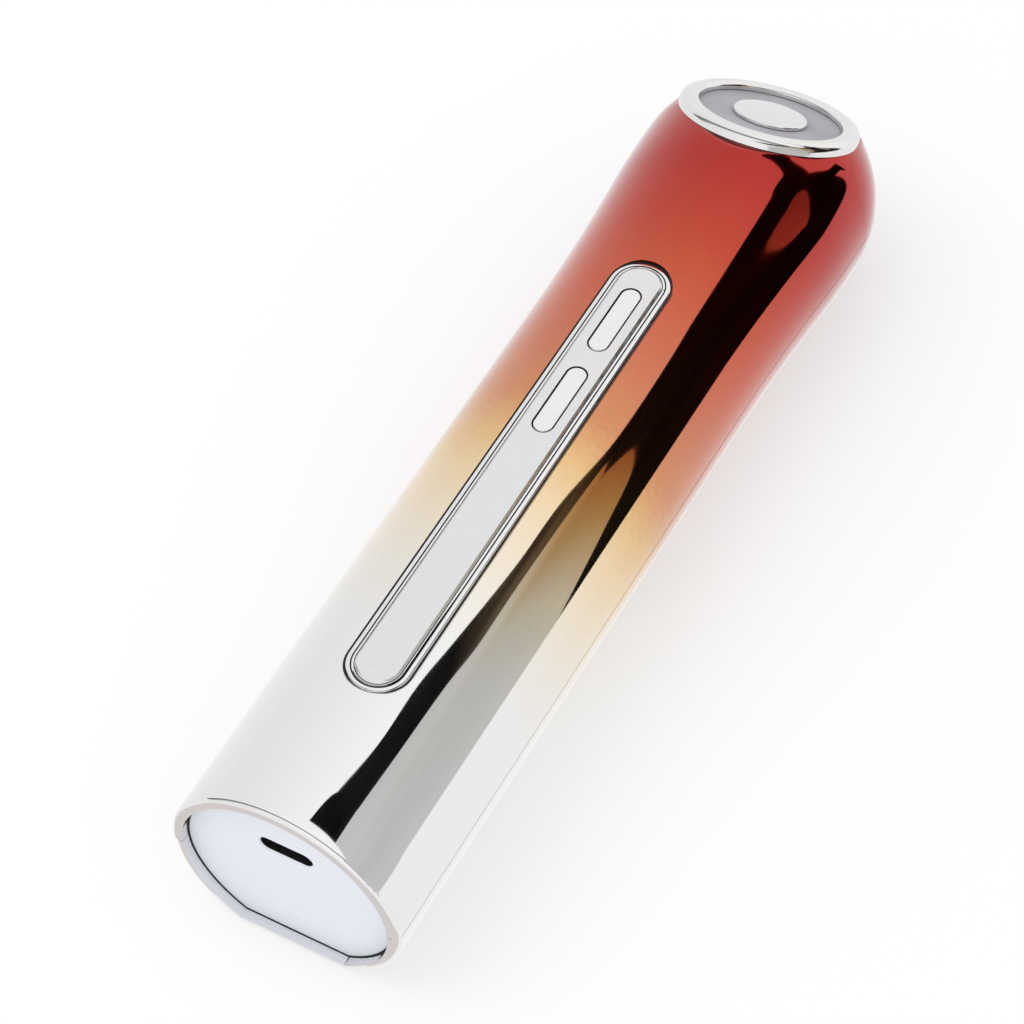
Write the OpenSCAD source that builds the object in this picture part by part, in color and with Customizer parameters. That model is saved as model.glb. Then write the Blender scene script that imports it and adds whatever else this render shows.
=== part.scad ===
// Facial massager wand: a mirror-plated housing in two halves, a long control
// panel with two buttons, a tilted electrode head with a light window, and the
// cell, boards and vibration motor inside. It lies on its flat back. Y runs
// from the charging end to the head, Z is up, and X = 0 is the middle plane.

/* [Housing] */
// Length of the wand
body_len = 186; // [182:1:196]
// Radius of the housing at the charging end
body_r = 20; // [19.6:0.1:20.6]
// Taper of the straight part of the housing, in degrees
taper = 0.34; // [0.2:0.02:0.5]
// Widening of the head beyond the radius at the charging end
head_flare = 2.6; // [2.2:0.1:3.2]
// Radius of the hollow sweep where the body widens to the head
sweep_r = 450; // [350:10:600]
// Radius of the shoulder behind the head
shoulder_r = 200; // [150:10:260]
// Depth of the flat cut off the back of the round housing
flat_cut = 2.9; // [2.4:0.1:3.2]
// Wall of the two housing halves
wall = 1.9; // [1.7:0.05:2.1]
// Wall of the flat back
back_wall = 1.55; // [1.3:0.05:1.8]
// Gap along the parting line
seam_gap = 0.12; // [0.08:0.02:0.2]
// Height of the lip that keys the two halves
lip_h = 1.4; // [1:0.1:2]
// Rounding of the front half at the charging end
front_round = 0.9; // [0.6:0.1:1.1]
// Rounding of the back half at the charging end
back_round = 1.5; // [1:0.1:1.7]
// Step of the lip inside the back half's wall
lip_step = 0.15; // [0.1:0.05:0.3]
// Distance of the lip behind the end plate
lip_setback = 1; // [0.6:0.1:2]

/* [Charging end] */
// Depth of the recess in front of the end plate
recess = 1.8; // [1.4:0.1:2.4]
// Thickness of the end plate
end_t = 1.6; // [1.2:0.1:2]
// Depth of the groove that holds the end plate in the wall
end_groove = 0.6; // [0.4:0.05:0.8]
// Height of the socket above the housing's axis
port_rise = 7.7; // [7.3:0.1:8.1]
// Width of the end plate's slot in front of the socket
port_w = 9.2; // [9:0.05:9.4]
// Height of that slot
port_h = 3; // [2.9:0.05:3.15]
// Bevel round that slot
port_bevel = 0.25; // [0.15:0.05:0.4]
// Width of the socket's steel shell
usb_w = 8.94; // [8.9:0.01:9]
// Height of the socket's steel shell
usb_h = 3.2; // [3.1:0.01:3.26]
// Length of the socket
usb_len = 7.3; // [6.8:0.1:8]
// Thickness of the socket's steel
usb_steel = 0.3; // [0.2:0.05:0.4]
// Width of the socket's tongue
tongue_w = 6.7; // [6.5:0.05:6.9]
// Thickness of the socket's tongue
tongue_t = 0.7; // [0.6:0.05:0.8]
// Distance of the tongue's tip behind the socket's mouth
usb_tip = 0.7; // [0.5:0.1:1]
// Length of the plastic block at the socket's back
usb_block = 1.6; // [1.2:0.1:2]

/* [Control panel] */
// Distance of the panel opening from the charging end
panel_start = 25.7; // [24:0.1:28]
// Length of the panel opening
panel_len = 98.3; // [96:0.1:100]
// Width of the panel opening
panel_w = 11.3; // [10.9:0.1:11.7]
// Gap between the housing and the bezel
panel_gap = 0.25; // [0.15:0.05:0.35]
// Width of the bezel's lip
bezel_lip = 1.2; // [1:0.05:1.4]
// Width of the groove between the bezel and the plate
bezel_groove = 0.35; // [0.25:0.05:0.45]
// Depth of the bezel's lip under the crown of the housing
bezel_drop = 0.3; // [0.2:0.05:0.4]
// Width of the bezel's ledge under the plate
bezel_ledge = 0.65; // [0.5:0.05:0.8]
// Easing of the bezel's edges
bezel_edge = 0.15; // [0.1:0.05:0.25]
// Height of the plate above the crown of the housing
plate_rise = 0.1; // [0:0.05:0.2]
// Thickness of the plate
plate_t = 1.5; // [1.3:0.1:1.7]
// Bevel round the plate
plate_bevel = 0.35; // [0.2:0.05:0.4]
// Depth of the tray that holds the bezel
tray_depth = 2.6; // [2.4:0.1:2.9]
// Thickness of the tray's floor and walls
tray_t = 1.2; // [1:0.1:1.4]

/* [Buttons] */
// Length of a button
button_len = 15; // [14:0.1:16]
// Width of a button
button_w = 3.5; // [3.2:0.1:3.8]
// Gap round a button
button_gap = 0.2; // [0.15:0.05:0.3]
// Distance of the upper button's middle from the panel's end
button_inset = 14.6; // [14:0.1:16]
// Distance between the middles of the two buttons
button_pitch = 19.4; // [18.5:0.1:20.5]
// Travel of a button
button_travel = 0.35; // [0.25:0.05:0.4]
// Width of the flange that keeps a button in, beside the button
button_flange = 0.6; // [0.5:0.05:0.7]
// Thickness of that flange
flange_t = 0.6; // [0.5:0.05:0.7]
// Rounding of a button's top edge
button_round = 0.3; // [0.2:0.05:0.4]
// Radius of a switch plunger
plunger_r = 1; // [0.8:0.05:1.2]
// Height of a switch plunger above the switch
plunger_h = 0.7; // [0.6:0.05:0.9]
// Depth of a plunger inside its switch
plunger_seat = 0.5; // [0.4:0.05:0.6]
// Height of a switch
switch_h = 1.5; // [1.3:0.1:1.8]
// Side of a switch
switch_w = 4.6; // [4.2:0.1:5]
// Height of the posts between tray and key board
key_post_h = 2.2; // [2:0.1:2.6]
// Distance between the first and the last of those posts
key_post_span = 32; // [31:0.5:34]
// Width of the key board
key_board_w = 11; // [10.6:0.1:11.6]
// Length of the key board
key_board_len = 36; // [35:0.5:38]
// Thickness of the key board
key_board_t = 1; // [0.8:0.1:1.2]

/* [Head] */
// Angle of the head's axis above the length of the wand
head_tilt = 61.7; // [60:0.1:64]
// Depth of the head's flat face under its round top
face_drop = 7.3; // [7:0.1:7.6]
// Shift of the head's axis towards the control panel
ring_shift = 1.3; // [1.1:0.05:1.5]
// Width of the inner cone of the eased edge round the ring
ease_w = 1.6; // [1.2:0.1:2]
// Width of the outer cone of the eased edge
ease_out_w = 2.1; // [1.8:0.1:2.6]
// Slope of the inner cone, in degrees
ease_in = 16; // [12:1:20]
// Slope of the outer cone, in degrees
ease_out = 26; // [23:1:28]
// Distance of the electrode ring's edge inside the radius of the head
ring_inset = 6.1; // [5.9:0.05:6.3]
// Height of the electrode ring above the face
ring_h = 2.3; // [2.1:0.1:2.6]
// Width of the electrode ring, from its edge to its inner lip
ring_band = 3.4; // [3.3:0.05:3.6]
// Rounding of the ring's outer edge
ring_round = 1.3; // [1:0.1:1.5]
// Rounding of the ring's inner lip
lip_round = 0.6; // [0.4:0.1:0.7]
// Radius of the ring's crown, seen in section
ring_crown_r = 3; // [2.6:0.1:4]
// Distance of the ring's crest from its edge
crest_inset = 1.9; // [1.7:0.1:2.1]
// Distance of the ring's skirt from its edge
skirt_inset = 2.5; // [2.3:0.05:2.6]
// Wall of the skirt
skirt_t = 0.5; // [0.4:0.05:0.6]
// Depth of the skirt under the face
skirt_h = 4.6; // [4:0.1:5]
// Thickness of the seal under the ring
seal_t = 0.3; // [0.25:0.05:0.4]
// Distance of the seal's edge inside the ring's edge
seal_setback = 0.2; // [0.1:0.05:0.3]
// Thickness of the ring where it meets its skirt
ring_seat_t = 0.4; // [0.3:0.05:0.5]
// Depth of the window under the ring's crest
window_drop = 1.4; // [1.3:0.1:1.6]
// Thickness of the window
window_t = 1.6; // [1.4:0.1:1.8]
// Radius of the centre electrode
centre_r = 6.8; // [6.5:0.1:7]
// Height of the centre electrode above the window
centre_rise = 0.75; // [0.6:0.05:0.9]
// Rounding of the centre electrode's edge
centre_round = 0.35; // [0.2:0.05:0.5]
// Step between the centre electrode's disc and its spigot
spigot_step = 0.9; // [0.7:0.1:1.2]
// Radius of the centre electrode's stem
stem_r = 1.5; // [1.4:0.05:1.7]
// Radius of the stem's nut, to its corners
nut_r = 3.2; // [3:0.1:3.5]
// Thickness of the nut
nut_t = 1.6; // [1.4:0.1:2]
// Thickness of the window gasket
gasket_t = 0.5; // [0.4:0.05:0.6]
// Thickness of the light board
led_board_t = 1; // [0.8:0.1:1.2]
// Height of the ledge that carries the light board
led_stand = 1; // [0.8:0.1:1.2]
// Number of diodes on the light board
led_count = 12; // [8:1:14]
// Side of a diode
led_w = 1.6; // [1.4:0.1:2]
// Height of a diode
led_h = 0.8; // [0.6:0.1:1]
// Width of a contact leaf
contact_w = 2.4; // [2:0.1:2.8]
// Thickness of a contact leaf
contact_t = 0.3; // [0.2:0.05:0.4]
// Gap between a contact leaf and the nearest diode
contact_gap = 0.9; // [0.6:0.1:1]
// Width of the ribbon's slot in the carrier
flex_slot_w = 9; // [8.6:0.1:10]
// Opening of that slot
flex_slot_t = 1.4; // [1.2:0.1:1.6]
// Distance of that slot from the head's axis
flex_slot_r = 8; // [7.6:0.1:8.4]
// Reach of the carrier's flange beyond the electrode ring
carrier_reach = 1.3; // [1:0.1:1.5]
// Thickness of the carrier's flange
carrier_t = 2; // [1.8:0.1:2.2]
// Wall of the carrier's cup
cup_t = 1.3; // [1.1:0.1:1.5]
// Depth of the carrier's cup, from flange to rim
carrier_h = 4.4; // [4.2:0.1:4.6]
// Distance of the carrier's screws from the edge of its flange
carrier_edge = 1.9; // [1.8:0.05:2]
// Wall of the collar round the skirt
collar_t = 1.6; // [1.2:0.1:2]

/* [Boards and cell] */
// Distance of the main board from the charging end
board_start = 5; // [4.6:0.1:5.4]
// Distance of the main board from the far end of the head
head_space = 74; // [72:1:78]
// Gap between the main board and the screw posts beside it
board_gap = 0.5; // [0.4:0.1:1]
// Thickness of the main board
board_t = 1.2; // [1:0.1:1.6]
// Distance of the chassis posts from the ends of the main board
post_inset = 25; // [23:0.5:28]
// Gap between the cell and the main board
cell_gap = 1.4; // [1.3:0.1:2]
// Length of the cell
cell_len = 50; // [48:0.5:52]
// Distance of the cell from the charging end
cell_start = 24; // [22:0.5:26]
// Thickness of the foam strip under the cell
pad_t = 0.8; // [0.6:0.1:1]
// Width of a chassis rail
rail_w = 2.4; // [2:0.1:2.8]
// Height of a chassis rail
rail_h = 4; // [3.6:0.1:4.4]
// Thickness of a chassis rib
rib_t = 2; // [1.6:0.1:2.4]
// Radius of a screw post
post_r = 2.1; // [2:0.05:2.3]
// Radius of a screw's shank
screw_r = 0.8; // [0.7:0.05:0.9]
// Radius of a screw's head
screw_head_r = 1.5; // [1.4:0.05:1.7]
// Height of a screw's head
screw_head_h = 1; // [0.8:0.1:1.2]
// Length of a screw's shank
screw_len = 4; // [3.5:0.1:4.4]
// Length of a post's screw hole
hole_depth = 6; // [5:0.5:7]
// Radius of the small posts under the tray
key_post_r = 1.3; // [1.1:0.1:1.4]
// Distance of those posts from the middle plane
key_post_x = 3.9; // [3.7:0.1:4.1]
// Radius of a key board screw's shank
key_screw_r = 0.6; // [0.5:0.05:0.7]
// Length of a key board screw's shank
key_screw_len = 2.6; // [2.2:0.1:2.8]
// Radius of a key board screw's head
key_screw_head_r = 1.1; // [1:0.05:1.3]
// Height of a key board screw's head
key_screw_head_h = 0.6; // [0.5:0.05:0.8]
// Distance of the chassis posts from the inside of the housing
post_margin = 3.5; // [3.3:0.1:3.6]
// Thickness of the chassis ears
ear_t = 2; // [1.6:0.1:2.4]
// Distance of the board screws from the sides of the board
board_screw_edge = 2.2; // [2:0.1:2.4]
// Distance of the board screws from the ends of the board
board_screw_inset = 5; // [4.4:0.1:8]
// Gap between the ribs and the housing
rib_gap = 0.3; // [0.2:0.05:0.5]
// Reach of the end ribs over the face of the cell
rib_hold = 3; // [2:0.2:4]
// Play at each end of the cell
cell_play = 0.5; // [0.4:0.05:0.8]
// Bevel at the ends of the cell
cell_round = 0.5; // [0.3:0.1:0.8]
// Depth of the bead rolled into the cell
bead_d = 0.5; // [0.3:0.1:0.7]
// Distance of that bead from the end of the can
bead_y = 4; // [3:0.5:6]
// Radius of the cell's raised terminal
terminal_r = 3; // [2.6:0.1:3.4]
// Height of the raised terminal
terminal_h = 1; // [0.8:0.1:1.4]
// Width of a battery tab
tab_w = 4; // [3:0.5:5]
// Thickness of a battery tab
tab_t = 0.2; // [0.15:0.05:0.3]
// Width of the foam strip
pad_w = 10; // [8:0.5:12]

/* [Vibration motor] */
// Radius of the motor
motor_r = 4; // [3.8:0.1:4.2]
// Length of the motor
motor_len = 16; // [15:0.5:17]
// Distance of the motor from the end of the main board
motor_gap = 24; // [22:0.5:26]
// Thickness of the rubber sleeve round the motor
sleeve_t = 1; // [0.8:0.1:1.2]
// Floor of the cradle under the motor's sleeve
cradle_floor = 0.9; // [0.7:0.1:1.2]
// Radius of the motor's shaft
shaft_r = 0.5; // [0.4:0.05:0.6]
// Radius of the eccentric weight
weight_r = 3.4; // [3:0.1:3.6]
// Length of the eccentric weight
weight_len = 5; // [4:0.5:6]
// Bevel of the motor's edges
motor_edge = 0.4; // [0.3:0.1:0.6]
// Radius of the motor's front boss
motor_boss_r = 1.6; // [1.4:0.1:2]
// Height of the motor's front boss
motor_boss_h = 0.8; // [0.6:0.1:1]
// Depth of the shaft in the motor
bearing_len = 3; // [2:0.5:4]
// Distance of the weight from the motor
weight_gap = 1.6; // [1.4:0.1:2.4]
// Distance of the sleeve's ends from the motor's ends
sleeve_inset = 1; // [0.5:0.5:2]
// Width of the motor's cradle
cradle_w = 14; // [12:0.5:16]
// Radius of a motor lead
lead_r = 0.45; // [0.35:0.05:0.55]
// Distance of a motor lead from the middle plane
lead_x = 1.4; // [1.2:0.1:1.8]
// Length of the straight run of a motor lead
lead_run = 3; // [2.6:0.2:3.6]

/* [Components] */
// Side of the processor
chip_w = 7; // [6:0.5:9]
// Thickness of the processor
chip_t = 0.9; // [0.7:0.1:1.2]
// Gap between the processor and the pulse transformer
chip_gap = 4.5; // [3.5:0.5:6]
// Radius of the inductor
inductor_r = 3.4; // [3:0.1:3.8]
// Height of the inductor
inductor_h = 3.2; // [2.6:0.1:3.8]
// Radius of the inductor's waist
inductor_waist_r = 2.7; // [2.4:0.1:2.8]
// Thickness of the inductor's rims
inductor_rim = 0.7; // [0.5:0.1:0.9]
// Distance of the inductor from the charging end
inductor_y = 34; // [32:1:36]
// Distance of the inductor from the middle plane
inductor_x = 4.5; // [3.5:0.5:5]
// Width of the pulse transformer
transformer_w = 12; // [11:0.5:13]
// Length of the pulse transformer
transformer_l = 8; // [7:0.5:9]
// Height of the pulse transformer
transformer_h = 6.5; // [5.5:0.5:7]
// Gap between the pulse transformer and the key board's ribbon
transformer_gap = 4.6; // [3.8:0.2:6]
// Radius of a capacitor
capacitor_r = 2; // [1.6:0.1:2.4]
// Height of a capacitor
capacitor_h = 4.5; // [4:0.5:5.5]
// Thickness of the ribbon cables
flex_t = 0.2; // [0.15:0.05:0.3]
// Length of a ribbon's foot on a board
flex_foot = 3; // [2:0.5:4]
// Width of the key board's ribbon
key_flex_w = 5; // [4:0.5:6]
// Width of the head's ribbon
head_flex_w = 8; // [7:0.1:8.2]
// Free run of the head's ribbon behind the main board
flex_run = 36; // [34:1:38]
// Size of a ribbon's bends
flex_bend = 1.6; // [1.4:0.1:2]

/* [Clearances] */
// Running clearance of plungers and of the motor's shaft
run_gap = 0.06; // [0.04:0.01:0.08]
// Clearance between pieces that seat in each other
fit = 0.1; // [0.06:0.01:0.15]
// Clearance of a screw in its hole
hole_gap = 0.05; // [0.03:0.01:0.08]

/* [Hidden] */
eps = 0.01;
skim = 0.03;
overrun = 1;
head_r = body_r + head_flare;
axis_z = body_r - flat_cut;
mid_y = body_len / 2;

// Housing outline, as points of distance along the axis and radius from it
head_y = body_len - head_r;
along = [cos(taper), sin(taper)];
outward = [-sin(taper), cos(taper)];
shoulder_c = [head_y, head_r - shoulder_r];
sweep_0 = [0, body_r] + sweep_r * outward;
sweep_v = sweep_0 - shoulder_c;
sweep_reach = sweep_r + shoulder_r;
sweep_t = -sweep_v * along
    - sqrt(pow(sweep_v * along, 2) - sweep_v * sweep_v + pow(sweep_reach, 2));
sweep_c = sweep_0 + sweep_t * along;
sweep_foot = [0, body_r] + sweep_t * along;
function foot_pt(s) = sweep_foot - s * outward;
function turn_pt(s) = sweep_c + (shoulder_c - sweep_c) * (sweep_r + s) / sweep_reach;
function body_r_at(y) = body_r + y * tan(taper);

// Radii of the electrode ring and its carrier
ring_r = head_r - ring_inset;
ring_lip_r = ring_r - ring_band;
ring_crown_at = ring_r - crest_inset;
skirt_r = ring_r - skirt_inset;
carrier_r = ring_r + carrier_reach;
carrier_pcd_r = carrier_r - carrier_edge;
face_h = head_r - face_drop;

// Eased edge of the front half round the electrode ring: two shallow cones
// that run from the ring's edge down into the shoulder behind it
face_edge = [ring_r + fit, face_h];
ease_mid = face_edge + ease_w * [1, -tan(ease_in)];
ease_end = ease_mid + ease_out_w * [1, -tan(ease_out)];

// Levels along the head's axis
seat_h = face_h + seal_t;
crest_h = face_h + ring_h;
window_top = crest_h - window_drop;
window_bottom = window_top - window_t;
cup_top = window_bottom - gasket_t;
flange_top = cup_top - carrier_h;
flange_bottom = flange_top - carrier_t;
skirt_bottom = face_h - skirt_h;
skirt_in_r = skirt_r - skirt_t;
cup_r = skirt_in_r - fit;
cup_in_r = cup_r - cup_t;
led_board_h = flange_top + led_stand;
spigot_r = centre_r - spigot_step;
led_ring_r = (spigot_r + cup_in_r) / 2;
contact_foot = cup_in_r - led_ring_r - led_w / 2 - contact_gap;
contact_end = sqrt(pow(skirt_in_r, 2) - pow(contact_w / 2, 2)) - hole_gap / 2;
ring_crown_c = [ring_crown_at, crest_h - ring_crown_r];

// Panel levels, measured from the crown of the housing
panel_y = panel_start + panel_len / 2;
bezel_w = panel_w - 2 * panel_gap;
bezel_len = panel_len - 2 * panel_gap;
inset_w = bezel_w - 2 * bezel_lip;
inset_len = bezel_len - 2 * bezel_lip;
plate_w = inset_w - 2 * bezel_groove;
plate_len = inset_len - 2 * bezel_groove;
plate_top = plate_rise;
plate_bottom = plate_top - plate_t;
ledge_w = plate_w - 2 * bezel_ledge;
tray_bottom = -tray_depth - tray_t;
key_board_top = tray_bottom - key_post_h;
switch_top = key_board_top + switch_h;
plunger_top = switch_top + plunger_h;
button_flange_top = plate_bottom - fit;
button_y = panel_start + panel_len - button_inset;
button_mid_y = button_y - button_pitch / 2;

// Heights and stations of the inner pieces
port_z = axis_z + port_rise;
board_top = port_z - usb_h / 2;
board_bottom = board_top - board_t;
rail_bottom = board_bottom - rail_h;
cell_r = (board_bottom - cell_gap - back_wall - pad_t) / 2;
cell_z = back_wall + pad_t + cell_r;
cell_end = cell_start + cell_len;
lip_start = recess + end_t + lip_setback;
board_end = body_len - head_space;
post_x = body_r - wall - post_margin;
board_w = 2 * (post_x - post_r - board_gap);
screw_x = board_w / 2 - board_screw_edge;
usb_start = recess + end_t + fit;
motor_z = back_wall + cradle_floor + sleeve_t + motor_r;
motor_start = board_end + motor_gap;
motor_end = motor_start + motor_len;
board_screw_ys = [board_start + board_screw_inset, board_end - board_screw_inset];
can_len = cell_len - terminal_h;
rib_ys = [
    cell_start - cell_play - rib_t, cell_start + cell_len / 3, cell_start + cell_len * 2 / 3,
    cell_end + cell_play, board_end - 2 * board_screw_inset - rib_t
];
contact_angles = [-30, 90, 210];
capacitor_places = [for (i = [-1, 0, 1])
    [-inductor_x - capacitor_r / 2, inductor_y + i * 3 * capacitor_r]];
key_flex_y = button_mid_y - key_board_len / 2 - flex_foot / 2;
transformer_y = key_flex_y - flex_bend - transformer_gap - transformer_l / 2;
chip_y = transformer_y - transformer_l / 2 - chip_gap - chip_w / 2;
lead_sides = 8;
cradle_ys = [motor_start + sleeve_inset + 1, motor_end - sleeve_inset - 1 - rib_t];
function panel_z(y, h) = axis_z + body_r_at(panel_y) + (y - panel_y) * sin(taper) + h * cos(taper);
function head_pt(across, h) = [head_y, axis_z] + h * [cos(head_tilt), sin(head_tilt)]
    + (across - ring_shift) * [sin(head_tilt), -cos(head_tilt)];
seam_angle = asin(seam_gap / 2 / body_r);
lip_angle = asin(lip_h / body_r);
fit_angle = asin(fit / body_r);
ear_top = rail_bottom + ear_t;
post_ys = [board_start + post_inset, board_end - post_inset];
post_angles = [-90, 30, 150];
hole_r = screw_r + hole_gap;
key_hole_r = key_screw_r + hole_gap;
key_hole_depth = key_screw_len + 1;
key_post_ys = [button_mid_y - key_post_span / 2, button_mid_y, button_mid_y + key_post_span / 2];
button_stem_r = plunger_r;
stem_hole_r = button_stem_r + button_gap;

// Housing section from the axis outwards, as radius and distance along it
module outline(inset, start = 0) {
    foot = foot_pt(inset);
    turn = turn_pt(inset);
    start_r = body_r_at(start) - inset / cos(taper);
    polygon([[0, start], [start_r, start], [foot[1], foot[0]], [0, foot[0]]]);
    difference() {
        polygon([[0, foot[0]], [foot[1], foot[0]], [turn[1], turn[0]], [0, turn[0]]]);
        translate([sweep_c[1], sweep_c[0]]) circle(sweep_r + inset, $fn = 1440);
    }
    intersection() {
        translate([shoulder_c[1], shoulder_c[0]]) circle(shoulder_r - inset, $fn = 720);
        translate([0, turn[0]]) square([head_r, head_y - turn[0]]);
    }
    intersection() {
        translate([0, head_y]) circle(head_r - inset, $fn = 128);
        translate([0, head_y]) square(head_r);
    }
}

// The outline with its corner at the charging end rounded
module rounded_outline(corner_r) {
    centre_r = body_r_at(corner_r) - corner_r + skim;
    difference() {
        outline(0);
        translate([centre_r, -eps]) square([body_r, corner_r + eps]);
    }
    intersection() {
        translate([centre_r, corner_r]) circle(corner_r, $fn = 64);
        outline(0);
    }
}

module on_axis() translate([0, -mid_y, axis_z]) rotate([-90, 0, 0]) children();

// Revolve about the housing's axis, from one angle to another. The back half
// lies between 0 and 180 degrees and the front half between 180 and 360.
module arc_lathe(from, to) {
    on_axis() rotate([0, 0, from]) rotate_extrude(angle = to - from, $fn = 128) children();
}
module front_half() arc_lathe(180 + seam_angle, 360 - seam_angle) children();
module back_half() arc_lathe(seam_angle, 180 - seam_angle) children();
module from_end(y, z = 0) translate([0, y - mid_y, z]) children();
module slab(z0, z1, y0 = -1, y1 = body_len + 1) {
    from_end(y0, z0) translate([-2 * head_r, 0, 0]) cube([4 * head_r, y1 - y0, z1 - z0]);
}
module on_panel(y = 0) {
    translate([0, panel_y - mid_y, axis_z + body_r_at(panel_y)])
        rotate([taper, 0, 0]) translate([0, y, 0]) children();
}
module on_head(h = 0) {
    translate([0, head_y - mid_y, axis_z]) rotate([head_tilt - 90, 0, 0])
        translate([0, -ring_shift, h]) children();
}
module screw(len = screw_len) {
    translate([0, 0, -screw_head_h]) cylinder(screw_head_h, r = screw_head_r, $fn = 32);
    cylinder(len, r = screw_r, $fn = 32);
}

// Long solid with round ends, swept from a half section drawn at X above zero
module swept_pill(w, len) {
    for (side = [0, 180])
        rotate([0, 0, side]) translate([0, (len - w) / 2, 0])
            rotate_extrude(angle = 180, $fn = 64) children();
    rotate([90, 0, 0]) linear_extrude(len - w, center = true) {
        children();
        mirror([1, 0]) children();
    }
}
module pill(w, len, z0, z1) {
    translate([0, 0, z0]) linear_extrude(z1 - z0) {
        for (end = [-1, 1]) translate([0, end * (len - w) / 2]) circle(w / 2, $fn = 64);
        square([w, len - w], center = true);
    }
}

// Everything outside the flat back, whose front edge is rounded
module back_cut(corner_r) {
    from_end(0) rotate([90, 0, 90]) linear_extrude(4 * head_r, center = true) {
        translate([-1, -head_r]) square([body_len + 2, head_r]);
        difference() {
            translate([-1, -1]) square([corner_r - skim + 1, corner_r + 1]);
            translate([corner_r - skim, corner_r]) circle(corner_r, $fn = 64);
        }
    }
}
// Space of the end plate: a disc with the flat of the back
module end_disc(shrink) intersection() {
    on_axis() rotate([0, 0, 90]) translate([0, 0, recess + shrink])
        cylinder(end_t - 2 * shrink, r = body_r - wall + end_groove - shrink, $fn = 128);
    slab(back_wall - end_groove + shrink, 4 * head_r);
}
// Section between two depths under the outer surface, behind the end plate
module lip_section(outer, inner) difference() {
    outline(outer, lip_start);
    outline(inner, -1);
}

module front_shell() color("indianred") difference() {
    union() {
        front_half() difference() {
            rounded_outline(front_round);
            outline(wall, -1);
        }
        intersection() {
            front_half() outline(wall / 2);
            union() {
                on_panel() pill(panel_w + 2 * tray_t, panel_len + 2 * tray_t, tray_bottom, 0);
                on_head(skirt_bottom) cylinder(head_r, r = skirt_r + collar_t, $fn = 96);
                head_posts();
                chassis_posts();
            }
        }
        key_posts();
    }
    for (side = [0, 180]) arc_lathe(side - lip_angle - fit_angle, side + lip_angle + fit_angle)
        lip_section(wall / 2, 2 * wall);
    end_disc(0);
    on_panel() pill(panel_w, panel_len, -tray_depth, head_r);
    for (y = [0, -button_pitch]) on_panel(button_y + y - panel_y)
        translate([0, 0, tray_bottom - 1]) cylinder(tray_t + 2, r = stem_hole_r, $fn = 48);
    on_head() rotate_extrude($fn = 128) face_cut();
    on_head(skirt_bottom - fit) cylinder(head_r, r = skirt_r + fit, $fn = 96);
    post_holes();
}

module head_posts() for (a = post_angles) on_head(flange_top)
    rotate([0, 0, a]) translate([carrier_pcd_r, 0, 0]) cylinder(head_r, r = post_r, $fn = 48);
module chassis_posts() for (x = [-post_x, post_x], y = post_ys) from_end(y, ear_top)
    translate([x, 0, 0]) cylinder(head_r, r = post_r, $fn = 48);
module key_posts() for (y = key_post_ys, x = [-key_post_x, key_post_x])
    on_panel(y - panel_y) translate([x, 0, key_board_top])
        cylinder(key_post_h + tray_t / 2, r = key_post_r, $fn = 32);
module post_holes() {
    for (a = post_angles) on_head(flange_top - 1)
        rotate([0, 0, a]) translate([carrier_pcd_r, 0, 0]) cylinder(hole_depth, r = hole_r, $fn = 32);
    for (x = [-post_x, post_x], y = post_ys) from_end(y, ear_top - 1)
        translate([x, 0, 0]) cylinder(hole_depth, r = hole_r, $fn = 32);
    for (y = key_post_ys, x = [-key_post_x, key_post_x]) on_panel(y - panel_y)
        translate([x, 0, key_board_top - 1]) cylinder(key_hole_depth, r = key_hole_r, $fn = 32);
}

// Everything above the head's face, with the eased edge round the ring
module face_cut() polygon([
    [0, face_h], face_edge, ease_mid, ease_end, [ease_end[0], 2 * face_h], [0, 2 * face_h]
]);

module back_cover() color("indianred") difference() {
    union() {
        difference() {
            back_half() rounded_outline(back_round);
            intersection() {
                arc_lathe(-overrun, 180 + overrun) outline(wall, -1);
                slab(back_wall, 4 * head_r, -2);
            }
        }
        for (side = [0, 180]) arc_lathe(side - lip_angle, side + lip_angle) difference() {
            lip_section(wall / 2 + fit, wall + lip_step);
            square([lip_h, body_len]);
        }
        for (y = cradle_ys) slab_box(-cradle_w / 2, cradle_w / 2, y, y + rib_t, back_wall - eps, motor_z);
    }
    back_cut(back_round);
    end_disc(0);
    from_end(cradle_ys[0] - 1, motor_z) rotate([-90, 0, 0])
        cylinder(motor_len, r = motor_r + sleeve_t + fit / 2, $fn = 96);
}

module end_plate() color("aliceblue") difference() {
    end_disc(fit / 2);
    from_end(recess + fit / 2, port_z) rotate([90, 0, 0]) rotate([0, 0, 90])
        swept_pill(port_h, port_w) polygon([
            [0, -end_t - 1], [port_h / 2, -end_t - 1], [port_h / 2, -port_bevel],
            [port_h / 2 + port_bevel + 1, 1], [0, 1]
        ]);
}
// Rounded bar with its width along X, drawn upwards from Z = 0
module flat_pill(w, h, len) linear_extrude(len) {
    for (side = [-1, 1]) translate([side * (w - h) / 2, 0]) circle(h / 2, $fn = 48);
    square([w - h, h], center = true);
}
module usb_shell() color("silver") from_end(usb_start, port_z) rotate([-90, 0, 0]) difference() {
    flat_pill(usb_w, usb_h, usb_len);
    translate([0, 0, -1]) flat_pill(usb_w - 2 * usb_steel, usb_h - 2 * usb_steel, usb_len - usb_steel + 1);
}
module usb_tongue() color("dimgray") from_end(usb_start, port_z) rotate([-90, 0, 0]) {
    translate([-tongue_w / 2, -tongue_t / 2, usb_tip])
        cube([tongue_w, tongue_t, usb_len - usb_steel - fit - usb_tip]);
    translate([0, 0, usb_len - usb_steel - fit - usb_block])
        flat_pill(usb_w - 2 * usb_steel - 2 * fit, usb_h - 2 * usb_steel - 2 * fit, usb_block);
}

module panel_bezel() color("gainsboro") on_panel() swept_pill(bezel_w, bezel_len) bezel_section();
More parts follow.
